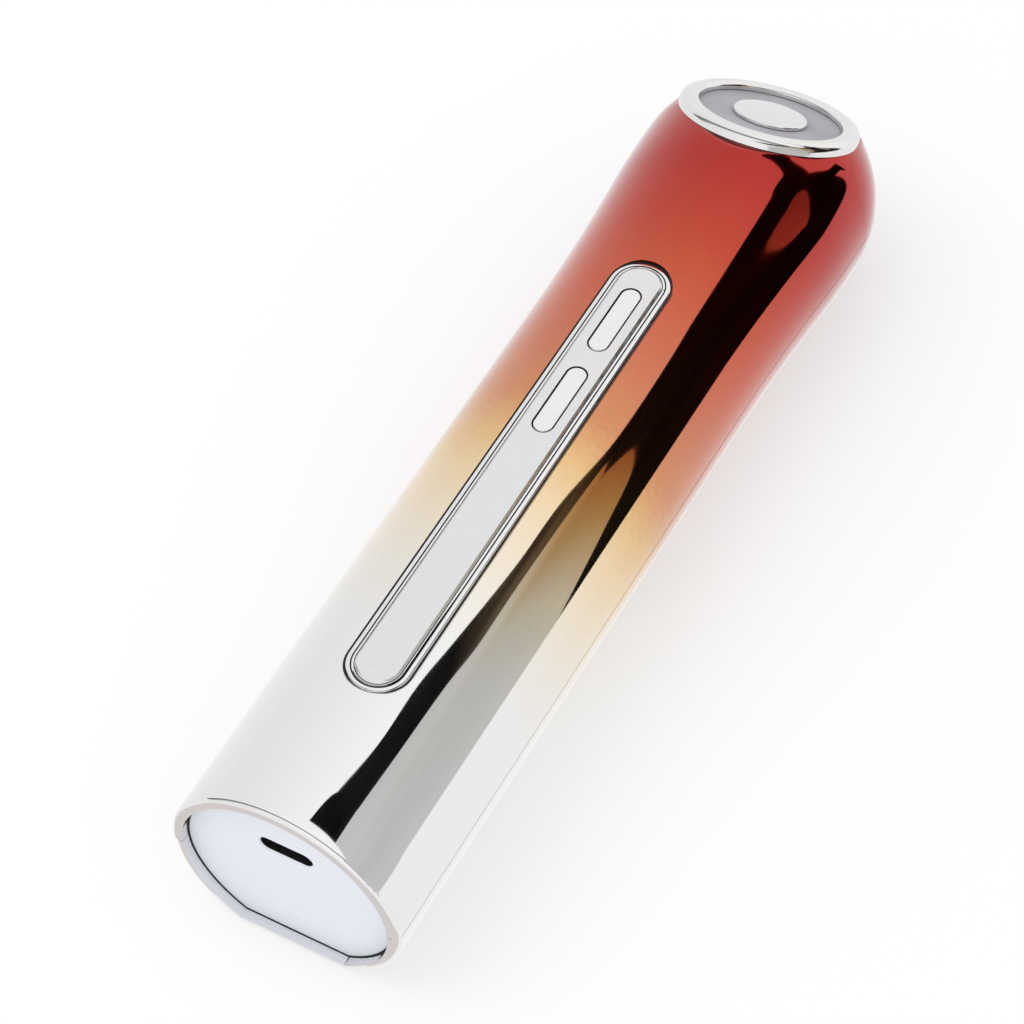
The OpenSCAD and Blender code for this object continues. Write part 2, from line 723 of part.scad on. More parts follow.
// Half section of the bezel: a lip with both edges eased, a groove and a ledge
module bezel_section() {
    top = -bezel_drop;
    half = bezel_w / 2;
    polygon([
        [ledge_w / 2, -tray_depth], [half, -tray_depth], [half, top - bezel_edge],
        [half - bezel_edge, top], [inset_w / 2 + bezel_edge, top],
        [inset_w / 2, top - bezel_edge], [inset_w / 2, plate_bottom], [ledge_w / 2, plate_bottom]
    ]);
}
module panel_plate() color("lightgray") difference() {
    on_panel() swept_pill(plate_w, plate_len) polygon([
        [0, plate_bottom], [plate_w / 2, plate_bottom], [plate_w / 2, plate_top - plate_bevel],
        [plate_w / 2 - plate_bevel, plate_top], [0, plate_top]
    ]);
    for (y = [0, -button_pitch]) on_panel(button_y + y - panel_y)
        pill(button_w + 2 * button_gap, button_len + 2 * button_gap, plate_bottom - 1, plate_top + 1);
}
// Button cap with a rounded top edge, a flange under the plate and a stem
module button(y) on_panel(y - panel_y) {
    swept_pill(button_w, button_len) {
        polygon([
            [0, button_flange_top - flange_t], [button_w / 2, button_flange_top - flange_t],
            [button_w / 2, plate_top - button_round], [button_w / 2 - button_round, plate_top - button_round],
            [button_w / 2 - button_round, plate_top], [0, plate_top]
        ]);
        translate([button_w / 2 - button_round, plate_top - button_round]) circle(button_round, $fn = 32);
    }
    pill(button_w + 2 * button_flange, button_len + 2 * button_flange,
        button_flange_top - flange_t, button_flange_top);
    translate([0, 0, plunger_top])
        cylinder(button_flange_top - plunger_top - flange_t / 2, r = button_stem_r, $fn = 32);
}
module power_button() color("whitesmoke") button(button_y);
module mode_button() color("whitesmoke") button(button_y - button_pitch);

module plunger(y) on_panel(y - panel_y) translate([0, 0, switch_top - plunger_seat])
    cylinder(plunger_top - switch_top + plunger_seat, r = plunger_r, $fn = 32);
module power_plunger() color("dimgray") plunger(button_y);
module mode_plunger() color("dimgray") plunger(button_y - button_pitch);
module switch_body(y) on_panel(y - panel_y) difference() {
    translate([-switch_w / 2, -switch_w / 2, key_board_top]) cube([switch_w, switch_w, switch_h]);
    translate([0, 0, switch_top - plunger_seat - button_travel - fit])
        cylinder(switch_h, r = plunger_r + run_gap, $fn = 32);
}
module power_switch() color("silver") switch_body(button_y);
module mode_switch() color("silver") switch_body(button_y - button_pitch);
module key_board() color("seagreen") on_panel(button_mid_y - panel_y) difference() {
    translate([-key_board_w / 2, -key_board_len / 2, key_board_top - key_board_t])
        cube([key_board_w, key_board_len, key_board_t]);
    for (y = key_post_ys, x = [-key_post_x, key_post_x])
        translate([x, y - button_mid_y, key_board_top - key_board_t - 1])
            cylinder(key_board_t + 2, r = key_hole_r, $fn = 32);
}
module key_board_screws() color("silver") for (y = key_post_ys, x = [-key_post_x, key_post_x])
    on_panel(y - panel_y) translate([x, 0, key_board_top - key_board_t]) {
        cylinder(key_screw_len, r = key_screw_r, $fn = 32);
        translate([0, 0, -key_screw_head_h]) cylinder(key_screw_head_h, r = key_screw_head_r, $fn = 32);
    }

// Section of the electrode ring: a crown between two rounded edges, the lip
// over the window, and the skirt that reaches into the housing
module ring_section() {
    outer_c = rounding_in_crown(ring_r - ring_round, ring_round);
    inner_c = rounding_in_crown(ring_lip_r + lip_round, lip_round);
    difference() {
        intersection() {
            union() {
                polygon([
                    [ring_lip_r, 0], [ring_r, 0], [ring_r, outer_c[1]], outer_c,
                    inner_c, [ring_lip_r, inner_c[1]]
                ]);
                translate(outer_c) circle(ring_round, $fn = 64);
                translate(inner_c) circle(lip_round, $fn = 64);
                intersection() {
                    translate(ring_crown_c) circle(ring_crown_r, $fn = 128);
                    polygon([
                        ring_crown_c, ring_crown_c + 4 * (inner_c - ring_crown_c),
                        ring_crown_c + 4 * (outer_c - ring_crown_c)
                    ]);
                }
            }
            translate([0, seat_h]) square([ring_r, ring_h]);
        }
        square([skirt_in_r, window_top]);
    }
    translate([skirt_in_r, skirt_bottom]) square([skirt_t, seat_h + ring_seat_t - skirt_bottom]);
}
// Centre of a rounding that touches the crown's circle from inside
function rounding_in_crown(r, round_r) = [
    r, ring_crown_c[1] + sqrt(pow(ring_crown_r - round_r, 2) - pow(r - ring_crown_at, 2))
];
module electrode_ring() color("gainsboro") on_head() rotate_extrude($fn = 128) ring_section();
module washer(h0, h1, inner, outer) on_head(h0) difference() {
    cylinder(h1 - h0, r = outer, $fn = 128);
    translate([0, 0, -1]) cylinder(h1 - h0 + 2, r = inner, $fn = 128);
}
module ring_seal() color("black") washer(face_h, seat_h, skirt_r + fit, ring_r - seal_setback);
module led_window() color("darkgray") washer(window_bottom, window_top, spigot_r + fit, skirt_in_r - fit);
module window_gasket() color("black") washer(cup_top, window_bottom, cup_in_r, cup_r);
module centre_electrode() color("gainsboro") on_head() rotate_extrude($fn = 128) {
    top = window_top + centre_rise;
    round_c = [centre_r - centre_round, top - centre_round];
    difference() {
        translate([0, window_top]) square([centre_r, centre_rise]);
        translate(round_c) square(centre_round + 1);
    }
    intersection() {
        translate(round_c) circle(centre_round, $fn = 64);
        translate([0, window_top]) square([centre_r, centre_rise]);
    }
    translate([0, window_bottom]) square([spigot_r, window_t + eps]);
    translate([0, flange_bottom - nut_t]) square([stem_r, window_bottom - flange_bottom + nut_t + eps]);
}
module electrode_nut() color("silver") on_head(flange_bottom - nut_t) difference() {
    cylinder(nut_t, r = nut_r, $fn = 6);
    translate([0, 0, -1]) cylinder(nut_t + 2, r = stem_r + hole_gap, $fn = 32);
}
module led_board() color("white")
    washer(led_board_h, led_board_h + led_board_t, stem_r + fit, cup_in_r - fit);
module leds() color("lightyellow") for (i = [0 : led_count - 1])
    on_head(led_board_h + led_board_t) rotate([0, 0, i * 360 / led_count])
        translate([led_ring_r - led_w / 2, -led_w / 2, 0]) cube([led_w, led_w, led_h]);
module ring_contacts() color("gold") for (a = contact_angles)
    on_head(led_board_h + led_board_t) rotate([0, 0, a])
        translate([cup_in_r - contact_foot, -contact_w / 2, 0])
            cube([contact_end - cup_in_r + contact_foot, contact_w, contact_t]);
module head_carrier() color("whitesmoke") difference() {
    on_head() rotate_extrude($fn = 128) polygon([
        [stem_r + fit, flange_bottom], [carrier_r, flange_bottom], [carrier_r, flange_top],
        [cup_r, flange_top], [cup_r, cup_top], [cup_in_r, cup_top], [cup_in_r, led_board_h],
        [cup_in_r - cup_t, led_board_h], [cup_in_r - cup_t, flange_top], [stem_r + fit, flange_top]
    ]);
    for (a = contact_angles) on_head(led_board_h + led_board_t - fit) rotate([0, 0, a])
        translate([cup_in_r - cup_t / 2, -contact_w / 2 - fit, 0])
            cube([2 * cup_t, contact_w + 2 * fit, carrier_h]);
    for (a = post_angles) on_head(flange_bottom - 1) rotate([0, 0, a])
        translate([carrier_pcd_r, 0, 0]) cylinder(carrier_t + 2, r = hole_r, $fn = 32);
    on_head(flange_bottom - 1) translate([-flex_slot_w / 2, -flex_slot_r - flex_slot_t / 2, 0])
        cube([flex_slot_w, flex_slot_t, carrier_t + 2]);
}
module head_screws() color("silver") for (a = post_angles)
    on_head(flange_bottom) rotate([0, 0, a]) translate([carrier_pcd_r, 0, 0]) screw(carrier_t + screw_len);

// Ribbon of even thickness along points of Y and Z, across the middle plane
function path_dir(p, i) = let (
    a = p[max(i - 1, 0)], b = p[min(i + 1, len(p) - 1)]
) (b - a) / norm(b - a);
function path_side(p, d) = [for (i = [0 : len(p) - 1]) let (u = path_dir(p, i)) p[i] + d * [-u[1], u[0]]];
module ribbon(points, w, t) {
    outline_pts = concat(path_side(points, t / 2), [for (i = [len(points) - 1 : -1 : 0])
        path_side(points, -t / 2)[i]]);
    from_end(0) rotate([90, 0, 90]) linear_extrude(w, center = true) polygon(outline_pts);
}
// Round lead along points of Y and Z, at one distance from the middle plane
module lead(points, x, r) {
    rings = [for (i = [0 : len(points) - 1]) let (u = path_dir(points, i)) [
        for (k = [0 : lead_sides - 1]) let (a = 360 * k / lead_sides)
            [x + r * cos(a), points[i][0] - r * sin(a) * u[1], points[i][1] + r * sin(a) * u[0]]
    ]];
    n = len(points);
    sides = [for (i = [0 : n - 2], k = [0 : lead_sides - 1]) let (j = (k + 1) % lead_sides)
        [i * lead_sides + k, i * lead_sides + j, (i + 1) * lead_sides + j, (i + 1) * lead_sides + k]];
    first = [[for (k = [lead_sides - 1 : -1 : 0]) k]];
    last = [[for (k = [0 : lead_sides - 1]) (n - 1) * lead_sides + k]];
    from_end(0) polyhedron([for (ring = rings) each ring], concat(sides, first, last), convexity = 4);
}

module main_board() color("seagreen") difference() {
    slab_box(-board_w / 2, board_w / 2, board_start, board_end, board_bottom, board_top);
    for (x = [-screw_x, screw_x], y = board_screw_ys) from_end(y, board_bottom - 1)
        translate([x, 0, 0]) cylinder(board_t + 2, r = hole_r, $fn = 32);
}
module slab_box(x0, x1, y0, y1, z0, z1) from_end(y0, z0)
    translate([x0, 0, 0]) cube([x1 - x0, y1 - y0, z1 - z0]);
module processor_chip() color("black") slab_box(-chip_w / 2, chip_w / 2,
    chip_y - chip_w / 2, chip_y + chip_w / 2, board_top, board_top + chip_t);
module boost_inductor() color("dimgray") from_end(inductor_y, board_top) translate([inductor_x, 0, 0])
    rotate_extrude($fn = 64) polygon([
        [0, 0], [inductor_r, 0], [inductor_r, inductor_rim], [inductor_waist_r, inductor_rim],
        [inductor_waist_r, inductor_h - inductor_rim], [inductor_r, inductor_h - inductor_rim],
        [inductor_r, inductor_h], [0, inductor_h]
    ]);
module pulse_transformer() color("goldenrod") {
    half_w = transformer_w / 2;
    limb = transformer_w / 5;
    difference() {
        slab_box(-half_w, half_w, transformer_y - transformer_l / 2, transformer_y + transformer_l / 2,
            board_top, board_top + transformer_h);
        for (side = [-1, 1]) slab_box(side * limb - limb / 2, side * limb + limb / 2,
            transformer_y - transformer_l, transformer_y + transformer_l,
            board_top + limb / 2, board_top + transformer_h - limb / 2);
    }
    for (side = [-1, 1]) slab_box(side * limb - limb / 2 - eps, side * limb + limb / 2 + eps,
        transformer_y - transformer_l / 2 - limb / 2, transformer_y + transformer_l / 2 + limb / 2,
        board_top + limb / 2 - eps, board_top + transformer_h - limb / 2 + eps);
}
module board_capacitors() color("navy") for (p = capacitor_places)
    from_end(p[1], board_top) translate([p[0], 0, 0]) cylinder(capacitor_h, r = capacitor_r, $fn = 48);
module board_screws() color("silver") for (x = [-screw_x, screw_x], y = board_screw_ys)
    from_end(y, board_top) translate([x, 0, 0]) rotate([180, 0, 0]) screw();

module chassis() color("darkslategray") difference() {
    union() {
        for (side = [0, 1]) mirror([side, 0, 0]) {
            slab_box(board_w / 2 - rail_w, board_w / 2,
                board_start + 1, board_end, rail_bottom, board_bottom);
            for (y = board_screw_ys) from_end(y, rail_bottom)
                translate([screw_x, 0, 0]) cylinder(rail_h, r = post_r, $fn = 48);
            for (y = post_ys) {
                slab_box(board_w / 2 - rail_w, post_x, y - post_r, y + post_r, rail_bottom, ear_top);
                from_end(y, rail_bottom) translate([post_x, 0, 0]) cylinder(ear_t, r = post_r, $fn = 48);
            }
        }
        for (y = rib_ys) intersection() {
            on_axis() rotate([0, 0, 90]) translate([0, 0, y])
                cylinder(rib_t, r = body_r - wall - rib_gap, $fn = 128);
            slab(cell_z, board_bottom);
        }
    }
    cell_bore(cell_start - cell_play, cell_end + cell_play, cell_r + fit);
    cell_bore(0, board_end + 1, cell_r - rib_hold);
    for (x = [-post_x, post_x], y = post_ys) from_end(y, rail_bottom - 1)
        translate([x, 0, 0]) cylinder(ear_t + 2, r = hole_r, $fn = 32);
    for (x = [-screw_x, screw_x], y = board_screw_ys) from_end(y, rail_bottom - 1)
        translate([x, 0, 0]) cylinder(rail_h + 2, r = hole_r, $fn = 32);
}
module cell_bore(y0, y1, r) from_end(y0, cell_z) rotate([-90, 0, 0]) cylinder(y1 - y0, r = r, $fn = 96);
module chassis_screws() color("silver") for (x = [-post_x, post_x], y = post_ys)
    from_end(y, rail_bottom) translate([x, 0, 0]) screw(ear_t + screw_len);
module battery_cell() color("royalblue") from_end(cell_start, cell_z) rotate([-90, 0, 0])
    rotate_extrude($fn = 96) polygon([
        [0, 0], [cell_r - cell_round, 0], [cell_r, cell_round],
        [cell_r, can_len - bead_y - bead_d], [cell_r - bead_d, can_len - bead_y],
        [cell_r, can_len - bead_y + bead_d],
        [cell_r, can_len - cell_round], [cell_r - cell_round, can_len],
        [terminal_r, can_len], [terminal_r, cell_len], [0, cell_len]
    ]);
module battery_tabs() color("silver") for (y = [cell_start - tab_t - fit / 2, cell_end + fit / 2])
    slab_box(-tab_w / 2, tab_w / 2, y, y + tab_t, cell_z - tab_w / 2, board_bottom);
module battery_pad() color("black") difference() {
    slab_box(-pad_w / 2, pad_w / 2,
        cell_start + cell_play, cell_end - cell_play, back_wall, back_wall + 2 * pad_t);
    cell_bore(0, body_len, cell_r + fit / 2);
}
module key_flex() color("peru") ribbon([
    [key_flex_y + flex_foot, panel_z(key_flex_y + flex_foot, key_board_top - key_board_t) - flex_t / 2],
    [key_flex_y, panel_z(key_flex_y, key_board_top - key_board_t) - flex_t / 2],
    [key_flex_y - flex_bend, panel_z(key_flex_y, key_board_top - key_board_t) - flex_bend],
    [key_flex_y - flex_bend, board_top + flex_bend],
    [key_flex_y, board_top + flex_t / 2], [key_flex_y + flex_foot, board_top + flex_t / 2]
], key_flex_w, flex_t);
module head_flex() color("peru") ribbon([
    [board_end - flex_foot, board_top + flex_t / 2], [board_end + flex_run, board_top + flex_t / 2],
    head_pt(-flex_slot_r, flange_bottom - flex_bend), head_pt(-flex_slot_r, led_board_h - fit / 2)
], head_flex_w, flex_t);

module motor_can() color("silver") from_end(motor_start, motor_z) rotate([-90, 0, 0]) rotate_extrude($fn = 64)
    polygon([
        [0, 0], [motor_r - motor_edge, 0], [motor_r, motor_edge], [motor_r, motor_len - motor_edge],
        [motor_r - motor_edge, motor_len], [motor_boss_r, motor_len],
        [motor_boss_r, motor_len + motor_boss_h],
        [shaft_r + run_gap, motor_len + motor_boss_h], [shaft_r + run_gap, motor_len - bearing_len],
        [0, motor_len - bearing_len]
    ]);
module motor_shaft() color("silver") from_end(motor_end - bearing_len + fit, motor_z) rotate([-90, 0, 0])
    cylinder(bearing_len - fit + weight_gap + weight_len, r = shaft_r, $fn = 32);
module motor_weight() color("goldenrod")
    from_end(motor_end + weight_gap, motor_z) rotate([-90, 0, 0]) difference() {
        union() {
            intersection() {
                cylinder(weight_len, r = weight_r, $fn = 64);
                translate([-2 * weight_r, 0, -1]) cube([4 * weight_r, 2 * weight_r, weight_len + 2]);
            }
            cylinder(weight_len, r = 3 * shaft_r, $fn = 48);
        }
        translate([0, 0, -1]) cylinder(weight_len + 2, r = shaft_r + hole_gap / 2, $fn = 32);
    }
module motor_sleeve() color("black")
    from_end(motor_start + sleeve_inset, motor_z) rotate([-90, 0, 0]) difference() {
        cylinder(motor_len - 2 * sleeve_inset, r = motor_r + sleeve_t, $fn = 64);
        translate([0, 0, -1]) cylinder(motor_len + 2, r = motor_r + hole_gap, $fn = 64);
    }
module motor_leads() color("crimson") for (x = [-lead_x, lead_x]) lead([
    [motor_start - fit / 2, motor_z], [motor_start - lead_run, motor_z],
    [motor_start - 2 * lead_run, motor_z + lead_run], [board_end + lead_run, board_bottom - 2 * lead_run],
    [board_end - lead_r, board_bottom - lead_run / 2], [board_end - lead_run, board_bottom - lead_r - fit / 2]
], x, lead_r);

front_shell();
back_cover();
end_plate();
usb_shell();
usb_tongue();
panel_bezel();
panel_plate();
power_button();
mode_button();
power_plunger();
mode_plunger();
power_switch();
mode_switch();
key_board();
key_board_screws();
key_flex();
electrode_ring();
ring_seal();
led_window();
window_gasket();
centre_electrode();
electrode_nut();
led_board();
leds();
ring_contacts();
head_carrier();
head_screws();
head_flex();
main_board();
processor_chip();
boost_inductor();
pulse_transformer();
board_capacitors();
board_screws();
chassis();
chassis_screws();
battery_cell();
battery_tabs();
battery_pad();
motor_can();
motor_shaft();
motor_weight();
motor_sleeve();
motor_leads();
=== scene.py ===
"""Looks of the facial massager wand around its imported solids.

Metres. Y runs from the charging end to the head, Z is up, X = 0 is the middle
plane, and the wand lies on its flat back on the floor.
"""
import math

import bmesh
import bpy
from mathutils import Matrix, Vector


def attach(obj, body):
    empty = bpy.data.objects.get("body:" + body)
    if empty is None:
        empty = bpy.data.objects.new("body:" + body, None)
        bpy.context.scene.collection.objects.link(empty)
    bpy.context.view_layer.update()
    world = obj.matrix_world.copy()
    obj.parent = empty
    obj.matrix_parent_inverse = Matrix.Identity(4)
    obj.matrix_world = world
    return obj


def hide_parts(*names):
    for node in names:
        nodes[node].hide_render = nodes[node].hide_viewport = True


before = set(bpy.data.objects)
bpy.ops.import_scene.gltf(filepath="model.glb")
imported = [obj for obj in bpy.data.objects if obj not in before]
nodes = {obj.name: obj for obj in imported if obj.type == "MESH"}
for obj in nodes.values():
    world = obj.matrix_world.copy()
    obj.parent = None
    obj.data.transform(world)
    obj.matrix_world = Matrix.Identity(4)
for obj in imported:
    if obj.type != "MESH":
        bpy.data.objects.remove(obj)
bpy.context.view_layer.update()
scene = bpy.context.scene
MM = 0.001

# Sizes of the housing, in mm
BODY_LEN = 186.0
BODY_R = 20.0
TAPER = math.radians(0.34)
HEAD_R = 22.6
SWEEP_R = 450.0
SHOULDER_R = 200.0
AXIS_Z = 17.1
WALL = 1.9
BACK_WALL = 1.55
# How far the circle of the rounded corner reaches past the outline, which cuts it off
SKIM = 0.03

# Camera, fitted to the photo
CAMERA_AT = Vector((149.5, -278.8, 405.1)) * MM
CAMERA_TO = Vector((-1.07, -18.0, 24.4)) * MM
CAMERA_ROLL = math.radians(-2.0)
CAMERA_LENS = 104.52
SENSOR = 36.0


def make_camera():
    data = bpy.data.cameras.new("camera")
    data.sensor_width = SENSOR
    data.sensor_fit = "HORIZONTAL"
    data.lens = CAMERA_LENS
    data.clip_start = 0.01
    data.clip_end = 50.0
    camera = bpy.data.objects.new("camera", data)
    scene.collection.objects.link(camera)
    look = (CAMERA_TO - CAMERA_AT).to_track_quat("-Z", "Y").to_matrix()
    roll = Matrix.Rotation(CAMERA_ROLL, 3, "Z")
    camera.matrix_world = Matrix.Translation(CAMERA_AT) @ (look @ roll).to_4x4()
    scene.camera = camera


make_camera()


def srgb(red, green, blue):
    """Linear colour of an sRGB colour given from 0 to 255."""
    out = []
    for value in (red, green, blue):
        c = value / 255
        out.append(c / 12.92 if c <= 0.04045 else ((c + 0.055) / 1.055) ** 2.4)
    return (*out, 1.0)


# Noise values at which a material reaches its two ends
NOISE_LOW = 0.35
NOISE_HIGH = 0.65
# Height of the grain in metals and plastics, in metres
GRAIN_DEPTH = 2e-5


class Shader:
    """A material with a Principled shader, and short calls to add nodes to it."""

    def __init__(self, name, **inputs):
        self.material = bpy.data.materials.new(name)
        self.material.use_nodes = True
        self.tree = self.material.node_tree
        self.principled = self.tree.nodes["Principled BSDF"]
        for key, value in inputs.items():
            self.principled.inputs[key.replace("_", " ")].default_value = value

    def add(self, kind, **settings):
        node = self.tree.nodes.new(kind)
        for key, value in settings.items():
            if hasattr(node, key):
                setattr(node, key, value)
            else:
                node.inputs[key.replace("_", " ")].default_value = value
        return node

    def join(self, source, target):
        self.tree.links.new(source, target)

    def position(self):
        return self.add("ShaderNodeTexCoord").outputs["Object"]

    def noise(self, scale, detail=2.0):
        noise = self.add("ShaderNodeTexNoise", Scale=scale, Detail=detail)
        self.join(self.position(), noise.inputs["Vector"])
        return noise.outputs["Fac"]

    def ramp(self, factor, stops):
        ramp = self.add("ShaderNodeValToRGB")
        elements = ramp.color_ramp.elements
        while len(elements) < len(stops):
            elements.new(0.5)
        for element, (place, colour) in zip(elements, stops):
            element.position = place
            element.color = colour
        self.join(factor, ramp.inputs["Fac"])
        return ramp.outputs["Color"]

    def bump(self, height, strength):
        bump = self.add("ShaderNodeBump", Strength=strength, Distance=GRAIN_DEPTH)
        self.join(height, bump.inputs["Height"])
        self.join(bump.outputs["Normal"], self.principled.inputs["Normal"])

    def vary(self, socket, factor, low, high):
        """Varies a number on the shader between two values."""
        spread = self.add("ShaderNodeMapRange")
        spread.inputs["From Min"].default_value = NOISE_LOW
        spread.inputs["From Max"].default_value = NOISE_HIGH
        spread.inputs["To Min"].default_value = low
        spread.inputs["To Max"].default_value = high
        self.join(factor, spread.inputs["Value"])
        self.join(spread.outputs["Result"], self.principled.inputs[socket])

    def vary_colour(self, factor, low, high):
        colour = self.ramp(factor, [(NOISE_LOW, low), (NOISE_HIGH, high)])
        self.join(colour, self.principled.inputs["Base Color"])


# Distance in metres by which noise moves the colours of the plating
DRIFT = 0.006


def plating():
    """Mirror plating that turns from silver through gold to copper red along Y."""
    shader = Shader("plating", Metallic=1.0, Coat_Weight=0.75, Coat_Roughness=0.03)
    position = shader.position()
    split = shader.add("ShaderNodeSeparateXYZ")
    shader.join(position, split.inputs["Vector"])
    grain = shader.noise(900, detail=4)
    drift = shader.noise(28, detail=1)
    shift = shader.add("ShaderNodeMath", operation="MULTIPLY_ADD")
    shift.inputs[1].default_value = DRIFT
    shader.join(grain, shift.inputs[0])
    shader.join(split.outputs["Y"], shift.inputs[2])
    drifted = shader.add("ShaderNodeMath", operation="MULTIPLY_ADD")
    drifted.inputs[1].default_value = DRIFT
    shader.join(drift, drifted.inputs[0])
    shader.join(shift.outputs[0], drifted.inputs[2])
    place = shader.add("ShaderNodeMapRange")
    place.inputs["From Min"].default_value = -BODY_LEN / 2 * MM + DRIFT
    place.inputs["From Max"].default_value = BODY_LEN / 2 * MM + DRIFT
    shader.join(drifted.outputs[0], place.inputs["Value"])

    def at(distance):
        """Place on the ramp of a distance from the charging end, in mm."""
        return distance / BODY_LEN

    colour = shader.ramp(place.outputs["Result"], [
        (at(38), srgb(238, 237, 237)),
        (at(50), srgb(238, 233, 223)),
        (at(62), srgb(240, 224, 199)),
        (at(72), srgb(238, 211, 168)),
        (at(80), srgb(230, 187, 128)),
        (at(90), srgb(211, 140, 93)),
        (at(104), srgb(204, 112, 79)),
        (at(120), srgb(199, 83, 49)),
        (at(136), srgb(189, 54, 26)),
        (at(152), srgb(177, 24, 6)),
    ])
    shader.join(colour, shader.principled.inputs["Base Color"])
    shader.vary("Roughness", shader.noise(60), 0.035, 0.06)
    return shader.material


def bright_metal(name, colour, rough, grain=400, strength=0.05):
    """Metal whose roughness varies a little, with a fine grain."""
    shader = Shader(name, Metallic=1.0)
    shader.principled.inputs["Base Color"].default_value = colour
    shader.vary("Roughness", shader.noise(grain), rough * 0.8, rough * 1.2)
    shader.bump(shader.noise(grain * 4, detail=3), strength)
    return shader.material


def plastic(name, colour, rough, grain=2500, strength=0.15, shade=0.85, patch=120):
    """Plastic whose colour and roughness vary a little, with a fine grain."""
    shader = Shader(name)
    dark = tuple(c * shade for c in colour[:3]) + (1.0,)
    shader.vary_colour(shader.noise(patch, detail=3), dark, colour)
    shader.vary("Roughness", shader.noise(200), rough * 0.85, min(1.0, rough * 1.15))
    shader.bump(shader.noise(grain, detail=2), strength)
    return shader.material


def dress(node, material):
    mesh = nodes[node].data
    mesh.materials.clear()
    mesh.materials.append(material)


PLATING = plating()
END_WHITE = plastic("end_white", srgb(228, 231, 240), 0.32, grain=6000, strength=0.01, shade=0.98,
                    patch=12)
STEEL = bright_metal("steel", srgb(205, 204, 202), 0.22)
# Black of the plastic parts, also used to paint the deep shade inside the charging slot
BLACK_AND_SLOT_SHADE = plastic("black_plastic", srgb(24, 24, 26), 0.5)
BEZEL = bright_metal("bezel_silver", srgb(236, 236, 237), 0.06, strength=0.02)
PLATE = bright_metal("plate_silver", srgb(229, 229, 230), 0.3, grain=700, strength=0.04)
KEYS = bright_metal("key_silver", srgb(240, 240, 240), 0.34, grain=700, strength=0.06)
BOARD = plastic("board_green", srgb(18, 92, 52), 0.35)
RIBBON = plastic("ribbon_amber", srgb(176, 112, 40), 0.4)
RING = bright_metal("electrode_chrome", srgb(234, 233, 232), 0.12, grain=900, strength=0.015)
# Black of the real seals, also used for black fillers that paint the shade in gaps between parts
SEAL_AND_GAP_SHADE = plastic("seal_black", srgb(20, 20, 21), 0.65)
WINDOW = plastic("window_grey", srgb(166, 164, 170), 0.5, grain=4000, strength=0.2)
DISC = bright_metal("disc_chrome", srgb(232, 232, 233), 0.07, grain=900, strength=0.015)
BRASS = bright_metal("brass", srgb(222, 190, 120), 0.25)
LED = plastic("led_white", srgb(238, 238, 226), 0.25)
FRAME_GREY = plastic("frame_grey", srgb(74, 77, 80), 0.55)
FERRITE = plastic("ferrite", srgb(58, 58, 60), 0.6)
TAPE = plastic("winding_tape", srgb(224, 176, 44), 0.3)
CAN = bright_metal("can_aluminium", srgb(70, 96, 170), 0.3)
CAPACITOR = bright_metal("capacitor_can", srgb(196, 198, 200), 0.25)
FOAM = plastic("foam", srgb(40, 40, 42), 0.9)
WIRE = plastic("wire_red", srgb(170, 28, 28), 0.4)

DRESSED = {
    PLATING: ["front_shell", "back_cover"],
    END_WHITE: ["end_plate"],
    STEEL: ["usb_shell", "power_switch", "mode_switch", "key_board_screws", "head_screws",
            "board_screws", "chassis_screws", "battery_tabs", "motor_can", "motor_shaft",
            "motor_weight"],
    BLACK_AND_SLOT_SHADE: ["usb_tongue", "power_plunger", "mode_plunger", "processor_chip"],
    BEZEL: ["panel_bezel"],
    PLATE: ["panel_plate"],
    KEYS: ["power_button", "mode_button"],
    BOARD: ["key_board", "led_board", "main_board"],
    RIBBON: ["key_flex", "head_flex"],
    RING: ["electrode_ring"],
    SEAL_AND_GAP_SHADE: ["ring_seal", "window_gasket", "motor_sleeve"],
    WINDOW: ["led_window"],
    DISC: ["centre_electrode"],
    BRASS: ["electrode_nut", "ring_contacts"],
    LED: ["leds"],
    FRAME_GREY: ["head_carrier", "chassis"],
    FERRITE: ["boost_inductor"],
    TAPE: ["pulse_transformer"],
    CAPACITOR: ["board_capacitors"],
    CAN: ["battery_cell"],
    FOAM: ["battery_pad"],
    WIRE: ["motor_leads"],
}
for material, names in DRESSED.items():
    for name in names:
        dress(name, material)


